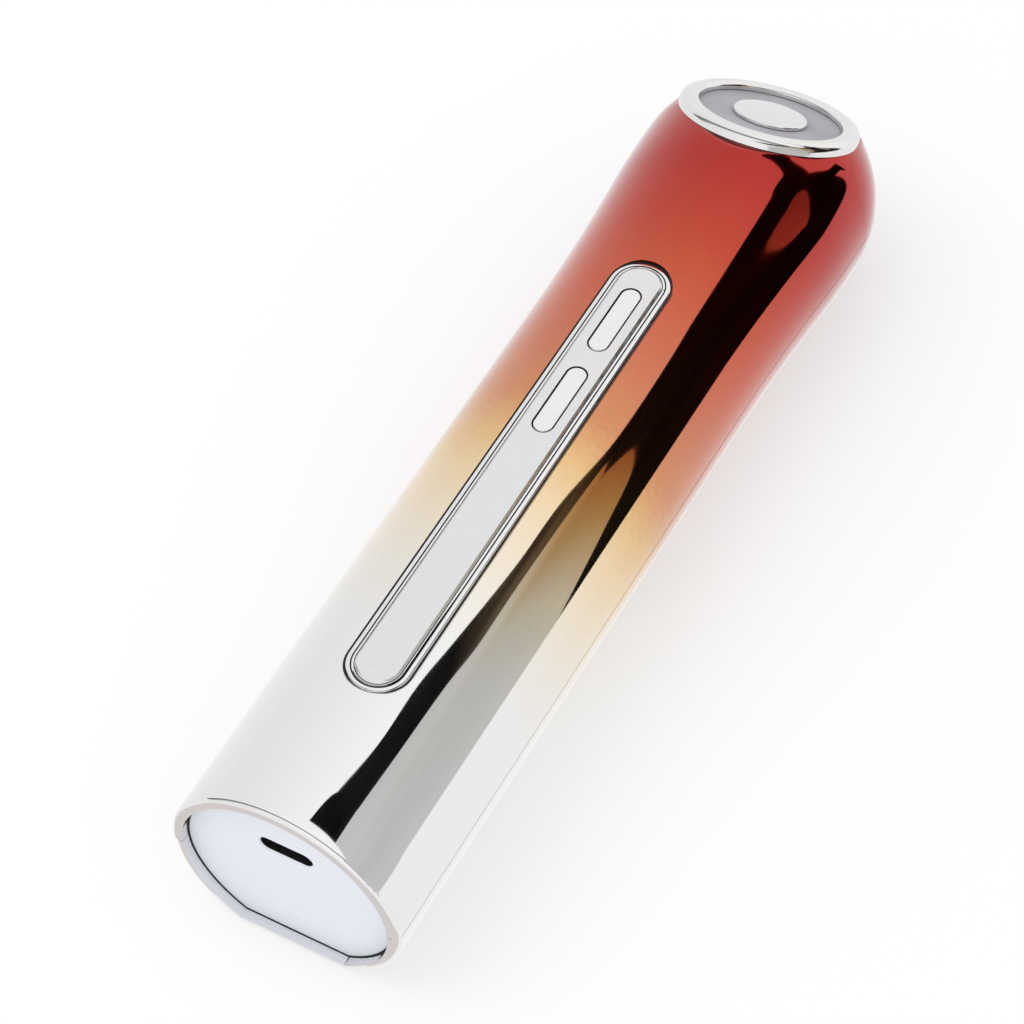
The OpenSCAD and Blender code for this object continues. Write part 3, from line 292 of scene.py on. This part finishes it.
class Outline:
    """Outline of the revolved housing, as radius and distance from the charging end, in mm."""

    def __init__(self, corner):
        self.corner = corner
        self.corner_c = Vector((BODY_R + corner * math.tan(TAPER) - corner + SKIM, corner))
        self.join_y = corner - math.sqrt(corner ** 2 - (corner - SKIM) ** 2)
        self.head_y = BODY_LEN - HEAD_R
        along = Vector((math.sin(TAPER), math.cos(TAPER)))
        self.outward = Vector((math.cos(TAPER), -math.sin(TAPER)))
        start = Vector((BODY_R, 0.0))
        self.shoulder_c = Vector((HEAD_R - SHOULDER_R, self.head_y))
        middle = start + SWEEP_R * self.outward
        offset = middle - self.shoulder_c
        reach = SWEEP_R + SHOULDER_R
        root = math.sqrt(offset.dot(along) ** 2 - offset.dot(offset) + reach ** 2)
        t = -offset.dot(along) - root
        self.sweep_c = middle + t * along
        self.foot = start + t * along
        self.turn = self.sweep_c + (self.shoulder_c - self.sweep_c) * SWEEP_R / reach

    def nearest(self, r, y, rounded=None):
        """Nearest point of the outline, and the outline's normal there.

        Rounded says whether the point belongs to the rounded corner at the charging end.
        """
        here = Vector((r, y))
        if rounded is None:
            rounded = y < self.corner * 0.9 and r > self.corner_c[0]
        if rounded:
            ray = (here - self.corner_c).normalized()
            return self.corner_c + ray * self.corner, ray
        if y < self.foot[1]:
            near = here - self.outward * (here - Vector((BODY_R, 0.0))).dot(self.outward)
            return near, self.outward
        if y < self.turn[1]:
            ray = (self.sweep_c - here).normalized()
            return self.sweep_c - ray * SWEEP_R, ray
        centre, radius = self.shoulder_c, SHOULDER_R
        if y > self.head_y:
            centre, radius = Vector((0.0, self.head_y)), HEAD_R
        ray = (here - centre).normalized()
        return centre + ray * radius, ray

    def project(self, point, rounded=None):
        """Nearest point of the revolved surface to a point in metres, and the normal there."""
        across = Vector((point.x / MM, point.z / MM - AXIS_Z))
        r = across.length
        near, normal = self.nearest(r, point.y / MM + BODY_LEN / 2, rounded)
        side = across / max(r, 1e-9)
        spot = Vector((side[0] * near[0], near[1] - BODY_LEN / 2, side[1] * near[0] + AXIS_Z)) * MM
        return spot, Vector((side[0] * normal[0], normal[1], side[1] * normal[0]))


# How far a vertex may lie from the revolved surface to count as on it
SKIN_TOL = 0.02 * MM
# How far a vertex of the skin may be moved onto the surface
SKIN_MOVE = 0.08 * MM
# Least agreement between a face's normal and the surface's normal
SKIN_COS = math.cos(math.radians(14))
# Edges of the skin longer than this are divided, in a few rounds at most
SKIN_EDGE = 2.2 * MM
SKIN_ROUNDS = 9
# Vertices closer than this are joined, in metres
WELD = 1e-6
# Edges that turn by more than this stay sharp
SHARP = math.radians(32)


def shade(bm):
    """Smooth shading, except across sharp and open edges."""
    for face in bm.faces:
        face.smooth = True
    for edge in bm.edges:
        edge.smooth = len(edge.link_faces) == 2 and edge.calc_face_angle(0.0) < SHARP


def skin_faces(bm, outline):
    """The faces that lie on the revolved surface."""
    near = {}
    for vert in bm.verts:
        spot, normal = outline.project(vert.co)
        if (spot - vert.co).length < SKIN_TOL:
            near[vert] = normal
    found = []
    for face in bm.faces:
        if all(v in near for v in face.verts):
            if min(face.normal.dot(near[v]) for v in face.verts) > SKIN_COS:
                found.append(face)
    return found


def smooth_skin(node, name, corner):
    """A finer copy of a housing half, whose outer surface has its true curvature."""
    outline = Outline(corner)
    mesh = nodes[node].data.copy()
    mesh.name = name
    piece = bpy.data.objects.new(name, mesh)
    scene.collection.objects.link(piece)
    bm = bmesh.new()
    bm.from_mesh(mesh)
    bmesh.ops.remove_doubles(bm, verts=bm.verts, dist=WELD)
    bm.normal_update()
    layer = bm.faces.layers.int.new("skin")
    for face in skin_faces(bm, outline):
        face[layer] = 1
    for _ in range(SKIN_ROUNDS):
        edges = list({e for f in bm.faces if f[layer] for e in f.edges if e.calc_length() > SKIN_EDGE})
        if not edges:
            break
        bmesh.ops.subdivide_edges(bm, edges=edges, cuts=1, use_grid_fill=False)
        bmesh.ops.triangulate(bm, faces=[f for f in bm.faces if len(f.verts) > 3],
                              quad_method="SHORT_EDGE", ngon_method="BEAUTY")
        for vert in bm.verts:
            if vert.link_faces and all(f[layer] for f in vert.link_faces):
                spot = outline.project(vert.co)[0]
                if (spot - vert.co).length < SKIN_MOVE:
                    vert.co = spot
    bm.normal_update()
    shade(bm)
    bm.to_mesh(mesh)
    bm.free()
    on_skin = [v.value for v in mesh.attributes["skin"].data]
    mesh.attributes.remove(mesh.attributes["skin"])
    normals = [Vector((0.0, 0.0, 0.0))] * len(mesh.loops)
    for polygon in mesh.polygons:
        if on_skin[polygon.index]:
            rounded = polygon.center.y / MM + BODY_LEN / 2 < outline.join_y
            for loop in polygon.loop_indices:
                spot = mesh.vertices[mesh.loops[loop].vertex_index].co
                normals[loop] = outline.project(spot, rounded)[1]
    mesh.normals_split_custom_set(normals)
    mesh.materials.clear()
    mesh.materials.append(PLATING)
    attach(piece, "housing")
    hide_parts(node)


# Radius in mm of the rounded corner at the charging end, on the front and on the back
FRONT_CORNER = 0.9
BACK_CORNER = 1.5
smooth_skin("front_shell", "front_skin", FRONT_CORNER)
smooth_skin("back_cover", "back_skin", BACK_CORNER)

# Frames of the head and of the control panel
HEAD_TILT = math.radians(61.7 - 90)
RING_SHIFT = 1.3
PANEL_START = 25.7
PANEL_LEN = 98.3
PANEL_W = 11.3
PANEL_MID = PANEL_START + PANEL_LEN / 2
CROWN_R = BODY_R + PANEL_MID * math.tan(TAPER)


def frame_at(y, z, turn):
    """Frame, in metres, of pieces drawn in mm, turned about X."""
    place = Matrix.Translation((0, (y - BODY_LEN / 2) * MM, z * MM))
    return place @ Matrix.Rotation(turn, 4, "X") @ Matrix.Scale(MM, 4)


HEAD = frame_at(BODY_LEN - HEAD_R, AXIS_Z, HEAD_TILT) @ Matrix.Translation((0, -RING_SHIFT, 0))
PANEL = frame_at(PANEL_MID, AXIS_Z + CROWN_R, TAPER)


def arc(centre, radius, start, end, steps):
    """Points of an arc, from one angle to another, in degrees."""
    out = []
    for i in range(steps + 1):
        turn = math.radians(start + (end - start) * i / steps)
        out.append((centre[0] + radius * math.cos(turn), centre[1] + radius * math.sin(turn)))
    return out


# Vertices of a band closer than this are joined, in metres
WELD_FINE = 1e-8


def swept(name, material, rows, place):
    """A closed band from rows of points, each row one section all the way round its path."""
    mesh = bpy.data.meshes.new(name)
    bm = bmesh.new()
    rings = [[bm.verts.new(place @ Vector(p)) for p in row] for row in rows]
    count = len(rings)
    size = len(rings[0])
    for i in range(count):
        here, there = rings[i], rings[(i + 1) % count]
        for j in range(size):
            k = (j + 1) % size
            bm.faces.new((here[j], here[k], there[k], there[j]))
    bmesh.ops.remove_doubles(bm, verts=bm.verts, dist=WELD_FINE)
    bmesh.ops.recalc_face_normals(bm, faces=bm.faces)
    shade(bm)
    bm.to_mesh(mesh)
    bm.free()
    mesh.materials.append(material)
    piece = bpy.data.objects.new(name, mesh)
    scene.collection.objects.link(piece)
    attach(piece, "housing")
    return piece


# Steps in a full turn
TURNS = 256


def lathe(name, material, section, place):
    """A closed section of radius and height, revolved about the head's axis."""
    rows = []
    for i in range(TURNS):
        turn = 2 * math.pi * i / TURNS
        rows.append([(r * math.cos(turn), r * math.sin(turn), h) for r, h in section])
    return swept(name, material, rows, place)


# Steps round each round end of a long slot, and along each side
CAP_STEPS = 48
SIDE_STEPS = 24
# Gap in mm between a black filler and the piece beside it
HAIR = 0.01


def pill_band(name, material, section, place, width, length):
    """A closed section of half width and height, swept round a long slot with round ends.

    A height may also be a function of the place across and along the slot.
    """
    reach = (length - width) / 2
    path = []
    for side in (1, -1):
        for i in range(CAP_STEPS + 1):
            turn = math.pi * i / CAP_STEPS + (0 if side > 0 else math.pi)
            path.append((math.cos(turn), math.sin(turn), side * reach))
        for i in range(1, SIDE_STEPS):
            path.append((-side, 0.0, side * reach * (1 - 2 * i / SIDE_STEPS)))
    rows = []
    for across, up, shift in path:
        row = []
        for half, height in section:
            x, y = half * across, half * up + shift
            row.append((x, y, height(x) if callable(height) else height))
        rows.append(row)
    return swept(name, material, rows, place)


def build_head():
    """The polished ring and disc, and black fillers beside them that paint the shade in the gaps."""
    ring_r = 16.5
    lip_r = 13.1
    face = 15.3
    seat = 15.6
    window = 16.2
    crown = (14.6, 14.6)
    crown_r = 3.0
    outer = (15.2, 16.19)
    inner = (13.7, 16.825)
    overlap = 0.08
    lip_gap = 0.12
    foot_r = 16.33
    skirt_in = 13.5
    skirt_out = 14.0
    skirt_foot = 10.7
    out_turn = math.degrees(math.atan2(outer[1] - crown[1], outer[0] - crown[0]))
    in_turn = math.degrees(math.atan2(inner[1] - crown[1], inner[0] - crown[0]))
    lip_foot = window + lip_gap
    ring = arc(outer, ring_r - outer[0], 0, out_turn, 14)
    ring += arc(crown, crown_r, out_turn, in_turn, 10)[1:]
    ring += arc(inner, inner[0] - lip_r, in_turn, 180, 12)[1:]
    ring += [(lip_r, lip_foot), (skirt_in, lip_foot), (skirt_in, skirt_foot), (skirt_out, skirt_foot)]
    ring += [(skirt_out, seat), (foot_r, seat), (foot_r, face + overlap), (ring_r, face + overlap)]
    piece = lathe("ring_polished", RING, ring, HEAD)
    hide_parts("electrode_ring")
    # A black band under the ring's lip paints the shade in the gap there
    gap_shade_in = 13.16
    gap_shade_out = 13.45
    gap_shade_top = lip_foot - HAIR
    lip_gap_shade = [(gap_shade_in, window), (gap_shade_out, window), (gap_shade_out, gap_shade_top), (gap_shade_in, gap_shade_top)]
    lathe("window_line", SEAL_AND_GAP_SHADE, lip_gap_shade, HEAD)

    disc_r = 6.8
    height = 0.75
    top = window + height
    edge = 0.35
    gap = 0.13
    neck_r = 6.45
    spigot_r = 5.9
    spigot_foot = 14.6
    stem_r = 1.5
    stem_foot = 6.1
    disc = [(0.0, top)] + arc((disc_r - edge, top - edge), edge, 90, 0, 12)
    disc += [(disc_r, window + gap), (neck_r, window + gap), (neck_r, window), (spigot_r, window)]
    disc += [(spigot_r, spigot_foot), (stem_r, spigot_foot), (stem_r, stem_foot), (0.0, stem_foot)]
    piece = lathe("disc_polished", DISC, disc, HEAD)
    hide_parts("centre_electrode")
    # A black band under the disc's edge paints the shade in the gap there
    line_in = neck_r + HAIR
    line_out = 6.72
    line_top = window + gap - HAIR
    disc_gap_shade = [(line_in, window), (line_out, window), (line_out, line_top), (line_in, line_top)]
    lathe("disc_line", SEAL_AND_GAP_SHADE, disc_gap_shade, HEAD)


def block(inner, outer, bottom, top):
    """A rectangular section."""
    return [(inner, bottom), (outer, bottom), (outer, top), (inner, top)]


def build_panel():
    """The crowned bezel, the rolled edge of its opening, and black fillers beside it that paint the
    shade in the gaps.
    """
    bezel_half = 5.33
    bezel_in = 3.95
    seat_in = 4.2
    plate_half = 3.85
    plate_top = 0.1
    floor = -1.4
    tray = -2.58
    ledge_half = 3.2
    shoulder = -0.8
    shoulder_r = 0.4
    groove_in = 4.32
    groove_out = 4.58
    groove_floor = -0.6
    edge_in = -0.3
    edge_out = -0.32
    rib_r = 0.15
    rib_up = -0.36
    rib_foot = -0.75
    bezel = [(ledge_half, tray), (bezel_half, tray)]
    bezel += arc((bezel_half - shoulder_r, shoulder), shoulder_r, 0, 75, 8)
    bezel += [(groove_out, edge_out), (groove_out, groove_floor)]
    bezel += [(groove_in, groove_floor), (groove_in, edge_in)]
    bezel += arc((bezel_in + rib_r, rib_up), rib_r, 60, 180, 8)
    bezel += [(bezel_in, rib_foot), (seat_in, rib_foot), (seat_in, floor), (ledge_half, floor)]
    piece = pill_band("bezel_crowned", BEZEL, bezel, PANEL, PANEL_W, PANEL_LEN)
    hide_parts("panel_bezel")

    # Black bands beside the plate, in the groove and beside the bezel paint the shade in those gaps
    plate_line_top = -0.5
    beside_plate = block(plate_half + HAIR, bezel_in - HAIR, floor + HAIR, plate_line_top)
    pill_band("plate_line", SEAL_AND_GAP_SHADE, beside_plate, PANEL, PANEL_W, PANEL_LEN)
    groove_line_top = -0.42
    in_groove = block(groove_in + HAIR, groove_out - HAIR, groove_floor + HAIR, groove_line_top)
    pill_band("groove_line", SEAL_AND_GAP_SHADE, in_groove, PANEL, PANEL_W, PANEL_LEN)

    bezel_line_sink = 0.03
    bezel_line_top = -0.45

    def skin(x):
        return math.sqrt(CROWN_R ** 2 - x ** 2) - CROWN_R

    def sunk(x):
        return min(skin(x) - bezel_line_sink, bezel_line_top)

    round_bezel = block(bezel_half + HAIR, PANEL_W / 2 - HAIR, tray, sunk)
    pill_band("bezel_line", SEAL_AND_GAP_SHADE, round_bezel, PANEL, PANEL_W, PANEL_LEN)

    bead = 0.07
    rim = []
    for i in range(8):
        turn = math.pi * i / 4
        rim.append((PANEL_W / 2 + bead + bead * math.cos(turn),
                    lambda x, rise=bead * math.sin(turn): skin(x) + rise))
    pill_band("opening_bead", PLATING, rim, PANEL, PANEL_W, PANEL_LEN)

    key_w = 3.9
    key_len = 15.4
    key_pitch = 19.4
    power_at = 109.4
    mode_at = power_at - key_pitch
    # Black bands round the keys paint the shade in their gaps
    key_line_in = 1.86
    key_line_out = 1.945
    key_line_sink = 0.03
    beside_key = block(key_line_in, key_line_out, floor + 2 * HAIR, plate_top - key_line_sink)
    for name, middle in (("power_line", power_at), ("mode_line", mode_at)):
        place = PANEL @ Matrix.Translation((0, middle - PANEL_MID, 0))
        pill_band(name, SEAL_AND_GAP_SHADE, beside_key, place, key_w, key_len)


def build_charging_end():
    """Black bands that paint the deep shade inside the slot and the shade in the corner round the end
    plate.
    """
    recess = 1.8
    slot_w = 3.0
    slot_len = 9.2
    slot_up = 7.7
    slot_shade_in = 1.36
    slot_shade_out = 1.49
    slot_shade_near = 0.32
    slot_shade_far = 1.6
    facing = Matrix(((0, 1, 0, 0), (0, 0, 1, 0), (1, 0, 0, 0), (0, 0, 0, 1)))
    place = frame_at(recess, AXIS_Z + slot_up, 0) @ facing
    # A black band inside the slot paints the deep shade there
    slot_shade_section = block(slot_shade_in, slot_shade_out, slot_shade_near, slot_shade_far)
    pill_band("slot_shade", BLACK_AND_SLOT_SHADE, slot_shade_section, place, slot_w, slot_len)

    # A black ring in the corner where the end plate meets the wall paints the shade there
    wall_r = BODY_R - WALL
    flat = AXIS_Z - BACK_WALL
    width = 0.2
    half_depth = 0.06
    near = recess - half_depth
    far = recess + half_depth
    corner = math.acos(flat / wall_r)
    turns = sorted([2 * math.pi * i / TURNS for i in range(TURNS)] + [corner, 2 * math.pi - corner])
    rows = []
    for turn in turns:
        down = math.cos(turn)
        row = []
        for inset, depth in ((HAIR, near), (HAIR, far), (width, far), (width, near)):
            reach = wall_r - inset
            if down > 0:
                reach = min(reach, (flat - inset) / down)
            row.append((reach * math.sin(turn), depth, -reach * down))
        rows.append(row)
    swept("end_line", SEAL_AND_GAP_SHADE, rows, frame_at(0, AXIS_Z, 0))


build_head()
build_panel()
build_charging_end()


def plain_object(name, corners, material):
    """One flat face that belongs to the stage."""
    mesh = bpy.data.meshes.new(name)
    mesh.from_pydata([tuple(c) for c in corners], [], [tuple(range(len(corners)))])
    mesh.materials.append(material)
    piece = bpy.data.objects.new(name, mesh)
    scene.collection.objects.link(piece)
    return piece


def glow(name, strength, colour=(1, 1, 1)):
    """A material that only glows."""
    material = bpy.data.materials.new(name)
    material.use_nodes = True
    tree = material.node_tree
    tree.nodes.clear()
    emission = tree.nodes.new("ShaderNodeEmission")
    emission.inputs["Color"].default_value = (*colour, 1)
    emission.inputs["Strength"].default_value = strength
    output = tree.nodes.new("ShaderNodeOutputMaterial")
    tree.links.new(emission.outputs[0], output.inputs["Surface"])
    return material


def card(name, corners, material):
    """A card that only reflections see."""
    piece = plain_object(name, [Vector(c) * MM for c in corners], material)
    piece.visible_camera = False
    piece.visible_diffuse = False
    piece.visible_shadow = False
    piece.visible_transmission = False
    piece.visible_volume_scatter = False
    return piece


# Noise value at which a streak is brightest
STREAK_HIGH = 0.75


def streaked(name, stretch, low, high, stops):
    """A glowing material whose colour changes along Y, with streaks in it.

    The stops are pairs of a place along Y in mm and a linear colour.
    """
    material = glow(name, 1.0)
    tree = material.node_tree
    position = tree.nodes.new("ShaderNodeTexCoord")
    mapping = tree.nodes.new("ShaderNodeMapping")
    mapping.inputs["Scale"].default_value = stretch
    noise = tree.nodes.new("ShaderNodeTexNoise")
    noise.inputs["Scale"].default_value = 1.0
    noise.inputs["Detail"].default_value = 6.0
    spread = tree.nodes.new("ShaderNodeMapRange")
    spread.inputs["From Min"].default_value = NOISE_LOW
    spread.inputs["From Max"].default_value = STREAK_HIGH
    spread.inputs["To Min"].default_value = low
    spread.inputs["To Max"].default_value = high
    tree.links.new(position.outputs["Object"], mapping.inputs["Vector"])
    tree.links.new(mapping.outputs["Vector"], noise.inputs["Vector"])
    tree.links.new(noise.outputs["Fac"], spread.inputs["Value"])
    tree.links.new(spread.outputs["Result"], tree.nodes["Emission"].inputs["Strength"])
    split = tree.nodes.new("ShaderNodeSeparateXYZ")
    along = tree.nodes.new("ShaderNodeMapRange")
    along.inputs["From Min"].default_value = stops[0][0] * MM
    along.inputs["From Max"].default_value = stops[-1][0] * MM
    ramp = tree.nodes.new("ShaderNodeValToRGB")
    elements = ramp.color_ramp.elements
    while len(elements) < len(stops):
        elements.new(0.5)
    for element, (place, colour) in zip(elements, stops):
        element.position = (place - stops[0][0]) / (stops[-1][0] - stops[0][0])
        element.color = (*colour, 1.0)
    tree.links.new(position.outputs["Object"], split.inputs["Vector"])
    tree.links.new(split.outputs["Y"], along.inputs["Value"])
    tree.links.new(along.outputs["Result"], ramp.inputs["Fac"])
    tree.links.new(ramp.outputs["Color"], tree.nodes["Emission"].inputs["Color"])
    return material


# Steps from one point of a flowing line to the next
FLOW_STEPS = 6


def flowing(points, closed=False):
    """A smooth line through a few points, in their plane."""
    count = len(points)
    last = count if closed else count - 1
    out = []
    for i in range(last):
        if closed:
            a, b, c, d = (points[(i + k) % count] for k in (-1, 0, 1, 2))
        else:
            a, b, c, d = (points[min(max(i + k, 0), count - 1)] for k in (-1, 0, 1, 2))
        for j in range(FLOW_STEPS):
            t = j / FLOW_STEPS
            out.append(tuple(
                0.5 * (2 * q + (r - p) * t + (2 * p - 5 * q + 4 * r - s) * t ** 2
                       + (3 * q - p - 3 * r + s) * t ** 3)
                for p, q, r, s in zip(a, b, c, d)))
    if not closed:
        out.append(points[-1])
    return out


# Height of the roof plane and distance of the wall plane, in mm
CARD = 120
# Height of the straight foot of the wall's cards, in mm
CARD_FOOT = 20
# Where the roof's cards and the wall's grey card end towards the charging end, in mm
ROOF_END = -75
WALL_END = -200


def reflection_cards():
    """A dark opening between the roof light and the floor on the right, with a grey wall in it.

    Corners are in mm, as X and Y on the roof plane and as Y and Z on the wall plane.
    """
    roof_edge = flowing([(15, ROOF_END), (20, -50), (35, -30), (35, -15), (45, 0), (60, 25), (65, 45),
                         (90, 75), (90, 100), (75, 115), (65, 120), (65, 130)])
    roof_edge += [(20, 120)] + flowing([(15, 120), (50, 135), (65, 140), (85, 150), (CARD, 170)])
    roof_inner = flowing([(CARD, 80), (105, 75), (95, 55), (90, 30), (90, 15), (80, 0), (75, -20),
                          (70, -40), (70, ROOF_END)])
    wall_inner = flowing([(80, CARD), (80, 95), (75, 80), (65, 60), (50, 45), (40, 35), (25, CARD_FOOT)])
    wall_edge = [(105, CARD_FOOT)] + flowing([(130, 15), (150, 20), (158, 32), (160, 62)]) + [(180, 40)]
    wall_edge += flowing([(170, 75), (165, 85), (170, CARD)])
    island = flowing([(150, 100), (135, 70), (125, 56), (120, 65), (125, 92), (135, 112), (150, 116)],
                     closed=True)
    black = (0.008, 0.007, 0.007)
    brown = (0.075, 0.055, 0.035)
    dark = streaked("card_dark", (30, 8, 30), 0.3, 2.0, [
        (-75, black), (0, black), (20, brown), (45, brown), (75, black), (170, black)])
    night = streaked("card_night", (30, 8, 30), 0.5, 1.5, [(0, black), (100, black)])
    grey = streaked("card_grey", (20, 3, 20), 0.92, 1.06, [
        (-60, (0.62, 0.615, 0.61)), (-30, (0.61, 0.605, 0.6)), (10, (0.57, 0.565, 0.54)),
        (30, (0.54, 0.52, 0.45)), (55, (0.43, 0.31, 0.18)), (80, (0.38, 0.21, 0.11))])
    card("roof_dark", [(x, y, CARD) for x, y in roof_edge + roof_inner], dark)
    card("wall_dark", [(CARD, y, z) for y, z in wall_edge + wall_inner], night)
    card("roof_grey", [(x, y, CARD) for x, y in roof_inner + [(CARD, ROOF_END)]], grey)
    wall_grey = wall_inner + [(WALL_END, CARD_FOOT), (WALL_END, CARD)]
    card("wall_grey", [(CARD, y, z) for y, z in wall_grey], grey)
    ember = streaked("card_ember", (20, 20, 20), 0.8, 1.2, [
        (100, (0.5, 0.36, 0.24)), (150, (0.4, 0.3, 0.22))])
    in_front = CARD - 1
    card("island", [(in_front, y, z) for y, z in island], ember)
    # A dim sheet just above the floor in front of the charging end paints the floor's shadow there, seen
    # only in reflections
    floor_shade_patch = [(-45, -140), (35, -140), (35, -95), (-45, -95)]
    floor_shade_up = 0.4
    card("floor_shade_patch", [(x, y, floor_shade_up) for x, y in floor_shade_patch], glow("card_floor_shade", 0.72, (1, 0.95, 0.93)))


# Albedo of the floor, its plain glow, and the share of that glow that the camera sees
FLOOR = 0.9
FLOOR_GLOW = 0.98
FLOOR_LIT = 0.6
# Half of the floor's side, in metres
FLOOR_HALF = 3.0
# What mirrors see of the floor on the left and on the right, and where the change ends, in metres
MIRRORED_LEFT = 0.9
MIRRORED_RIGHT = 0.97
MIRRORED_HALF = 0.1


def make_floor():
    """A pale floor. The camera sees part of its shadow, and mirrors see it plain."""
    material = bpy.data.materials.new("floor")
    material.use_nodes = True
    tree = material.node_tree
    shader = tree.nodes["Principled BSDF"]
    shader.inputs["Base Color"].default_value = (FLOOR, FLOOR, FLOOR, 1)
    shader.inputs["Roughness"].default_value = 0.9
    shader.inputs["Specular IOR Level"].default_value = 0.0
    path = tree.nodes.new("ShaderNodeLightPath")
    position = tree.nodes.new("ShaderNodeTexCoord")
    split = tree.nodes.new("ShaderNodeSeparateXYZ")
    side = tree.nodes.new("ShaderNodeMapRange")
    side.inputs["From Min"].default_value = -MIRRORED_HALF
    side.inputs["From Max"].default_value = MIRRORED_HALF
    side.inputs["To Min"].default_value = MIRRORED_LEFT
    side.inputs["To Max"].default_value = MIRRORED_RIGHT
    mirrored = tree.nodes.new("ShaderNodeEmission")
    plain = tree.nodes.new("ShaderNodeEmission")
    plain.inputs["Strength"].default_value = FLOOR_GLOW
    seen = tree.nodes.new("ShaderNodeMixShader")
    lit = tree.nodes.new("ShaderNodeMath")
    lit.operation = "MULTIPLY"
    lit.inputs[1].default_value = FLOOR_LIT
    both = tree.nodes.new("ShaderNodeMixShader")
    tree.links.new(position.outputs["Object"], split.inputs["Vector"])
    tree.links.new(split.outputs["X"], side.inputs["Value"])
    tree.links.new(side.outputs["Result"], mirrored.inputs["Strength"])
    tree.links.new(path.outputs["Is Camera Ray"], lit.inputs[0])
    tree.links.new(lit.outputs[0], seen.inputs["Fac"])
    tree.links.new(shader.outputs[0], seen.inputs[1])
    tree.links.new(plain.outputs[0], seen.inputs[2])
    tree.links.new(path.outputs["Is Glossy Ray"], both.inputs["Fac"])
    tree.links.new(seen.outputs[0], both.inputs[1])
    tree.links.new(mirrored.outputs[0], both.inputs[2])
    tree.links.new(both.outputs[0], tree.nodes["Material Output"].inputs["Surface"])
    corners = [(x * FLOOR_HALF, y * FLOOR_HALF, 0) for x, y in ((-1, -1), (1, -1), (1, 1), (-1, 1))]
    plain_object("floor", corners, material)


# What mirrors see of the studio on the left and on the right, and the directions where that ends
WORLD_LEFT = 0.885
WORLD_RIGHT = 1.03
LEFT_END = -0.9
RIGHT_END = 0.2
# Dark band, as levels at places from the middle of the studio towards the charging end
BAND_DARK = 0.25
BAND = [(0.01, 1), (0.04, BAND_DARK), (0.3, BAND_DARK), (0.5, 1)]


def make_world():
    """A white studio. Mirrors see it brighter to the right, with a dark band across it.

    The band stands where only edges that face the charging end can mirror it.
    """
    world = bpy.data.worlds.new("studio")
    scene.world = world
    world.use_nodes = True
    tree = world.node_tree
    background = tree.nodes["Background"]
    background.inputs["Color"].default_value = (1, 1, 1, 1)
    direction = tree.nodes.new("ShaderNodeTexCoord")
    split = tree.nodes.new("ShaderNodeSeparateXYZ")
    side = tree.nodes.new("ShaderNodeMapRange")
    side.inputs["From Min"].default_value = LEFT_END
    side.inputs["From Max"].default_value = RIGHT_END
    side.inputs["To Min"].default_value = WORLD_LEFT
    side.inputs["To Max"].default_value = WORLD_RIGHT
    band = tree.nodes.new("ShaderNodeValToRGB")
    elements = band.color_ramp.elements
    while len(elements) < len(BAND):
        elements.new(0.5)
    for element, (place, level) in zip(elements, BAND):
        element.position = place
        element.color = (level, level, level, 1)
    towards_end = tree.nodes.new("ShaderNodeMath")
    towards_end.operation = "MULTIPLY"
    towards_end.inputs[1].default_value = -1
    both = tree.nodes.new("ShaderNodeMath")
    both.operation = "MULTIPLY"
    path = tree.nodes.new("ShaderNodeLightPath")
    mirrored = tree.nodes.new("ShaderNodeMix")
    mirrored.inputs["A"].default_value = 1.0
    tree.links.new(direction.outputs["Generated"], split.inputs["Vector"])
    tree.links.new(split.outputs["X"], side.inputs["Value"])
    tree.links.new(split.outputs["Y"], towards_end.inputs[0])
    tree.links.new(towards_end.outputs[0], band.inputs["Fac"])
    tree.links.new(side.outputs["Result"], both.inputs[0])
    tree.links.new(band.outputs["Color"], both.inputs[1])
    tree.links.new(path.outputs["Is Glossy Ray"], mirrored.inputs["Factor"])
    tree.links.new(both.outputs[0], mirrored.inputs["B"])
    tree.links.new(mirrored.outputs["Result"], background.inputs["Strength"])


# Key light, in metres and watts
KEY_AT = Vector((-0.5, -0.3, 0.9))
KEY_SIZE = 0.8
KEY_POWER = 3.0


def make_key_light():
    """A soft light from the upper left, which mirrors and the camera don't see."""
    data = bpy.data.lights.new("key", "AREA")
    data.shape = "RECTANGLE"
    data.size = KEY_SIZE
    data.size_y = KEY_SIZE
    data.energy = KEY_POWER
    light = bpy.data.objects.new("key", data)
    scene.collection.objects.link(light)
    aim = (-KEY_AT).to_track_quat("-Z", "Y").to_matrix().to_4x4()
    light.matrix_world = Matrix.Translation(KEY_AT) @ aim
    light.visible_glossy = False
    light.visible_camera = False


reflection_cards()
make_floor()
make_world()
make_key_light()

scene.view_settings.view_transform = "Standard"
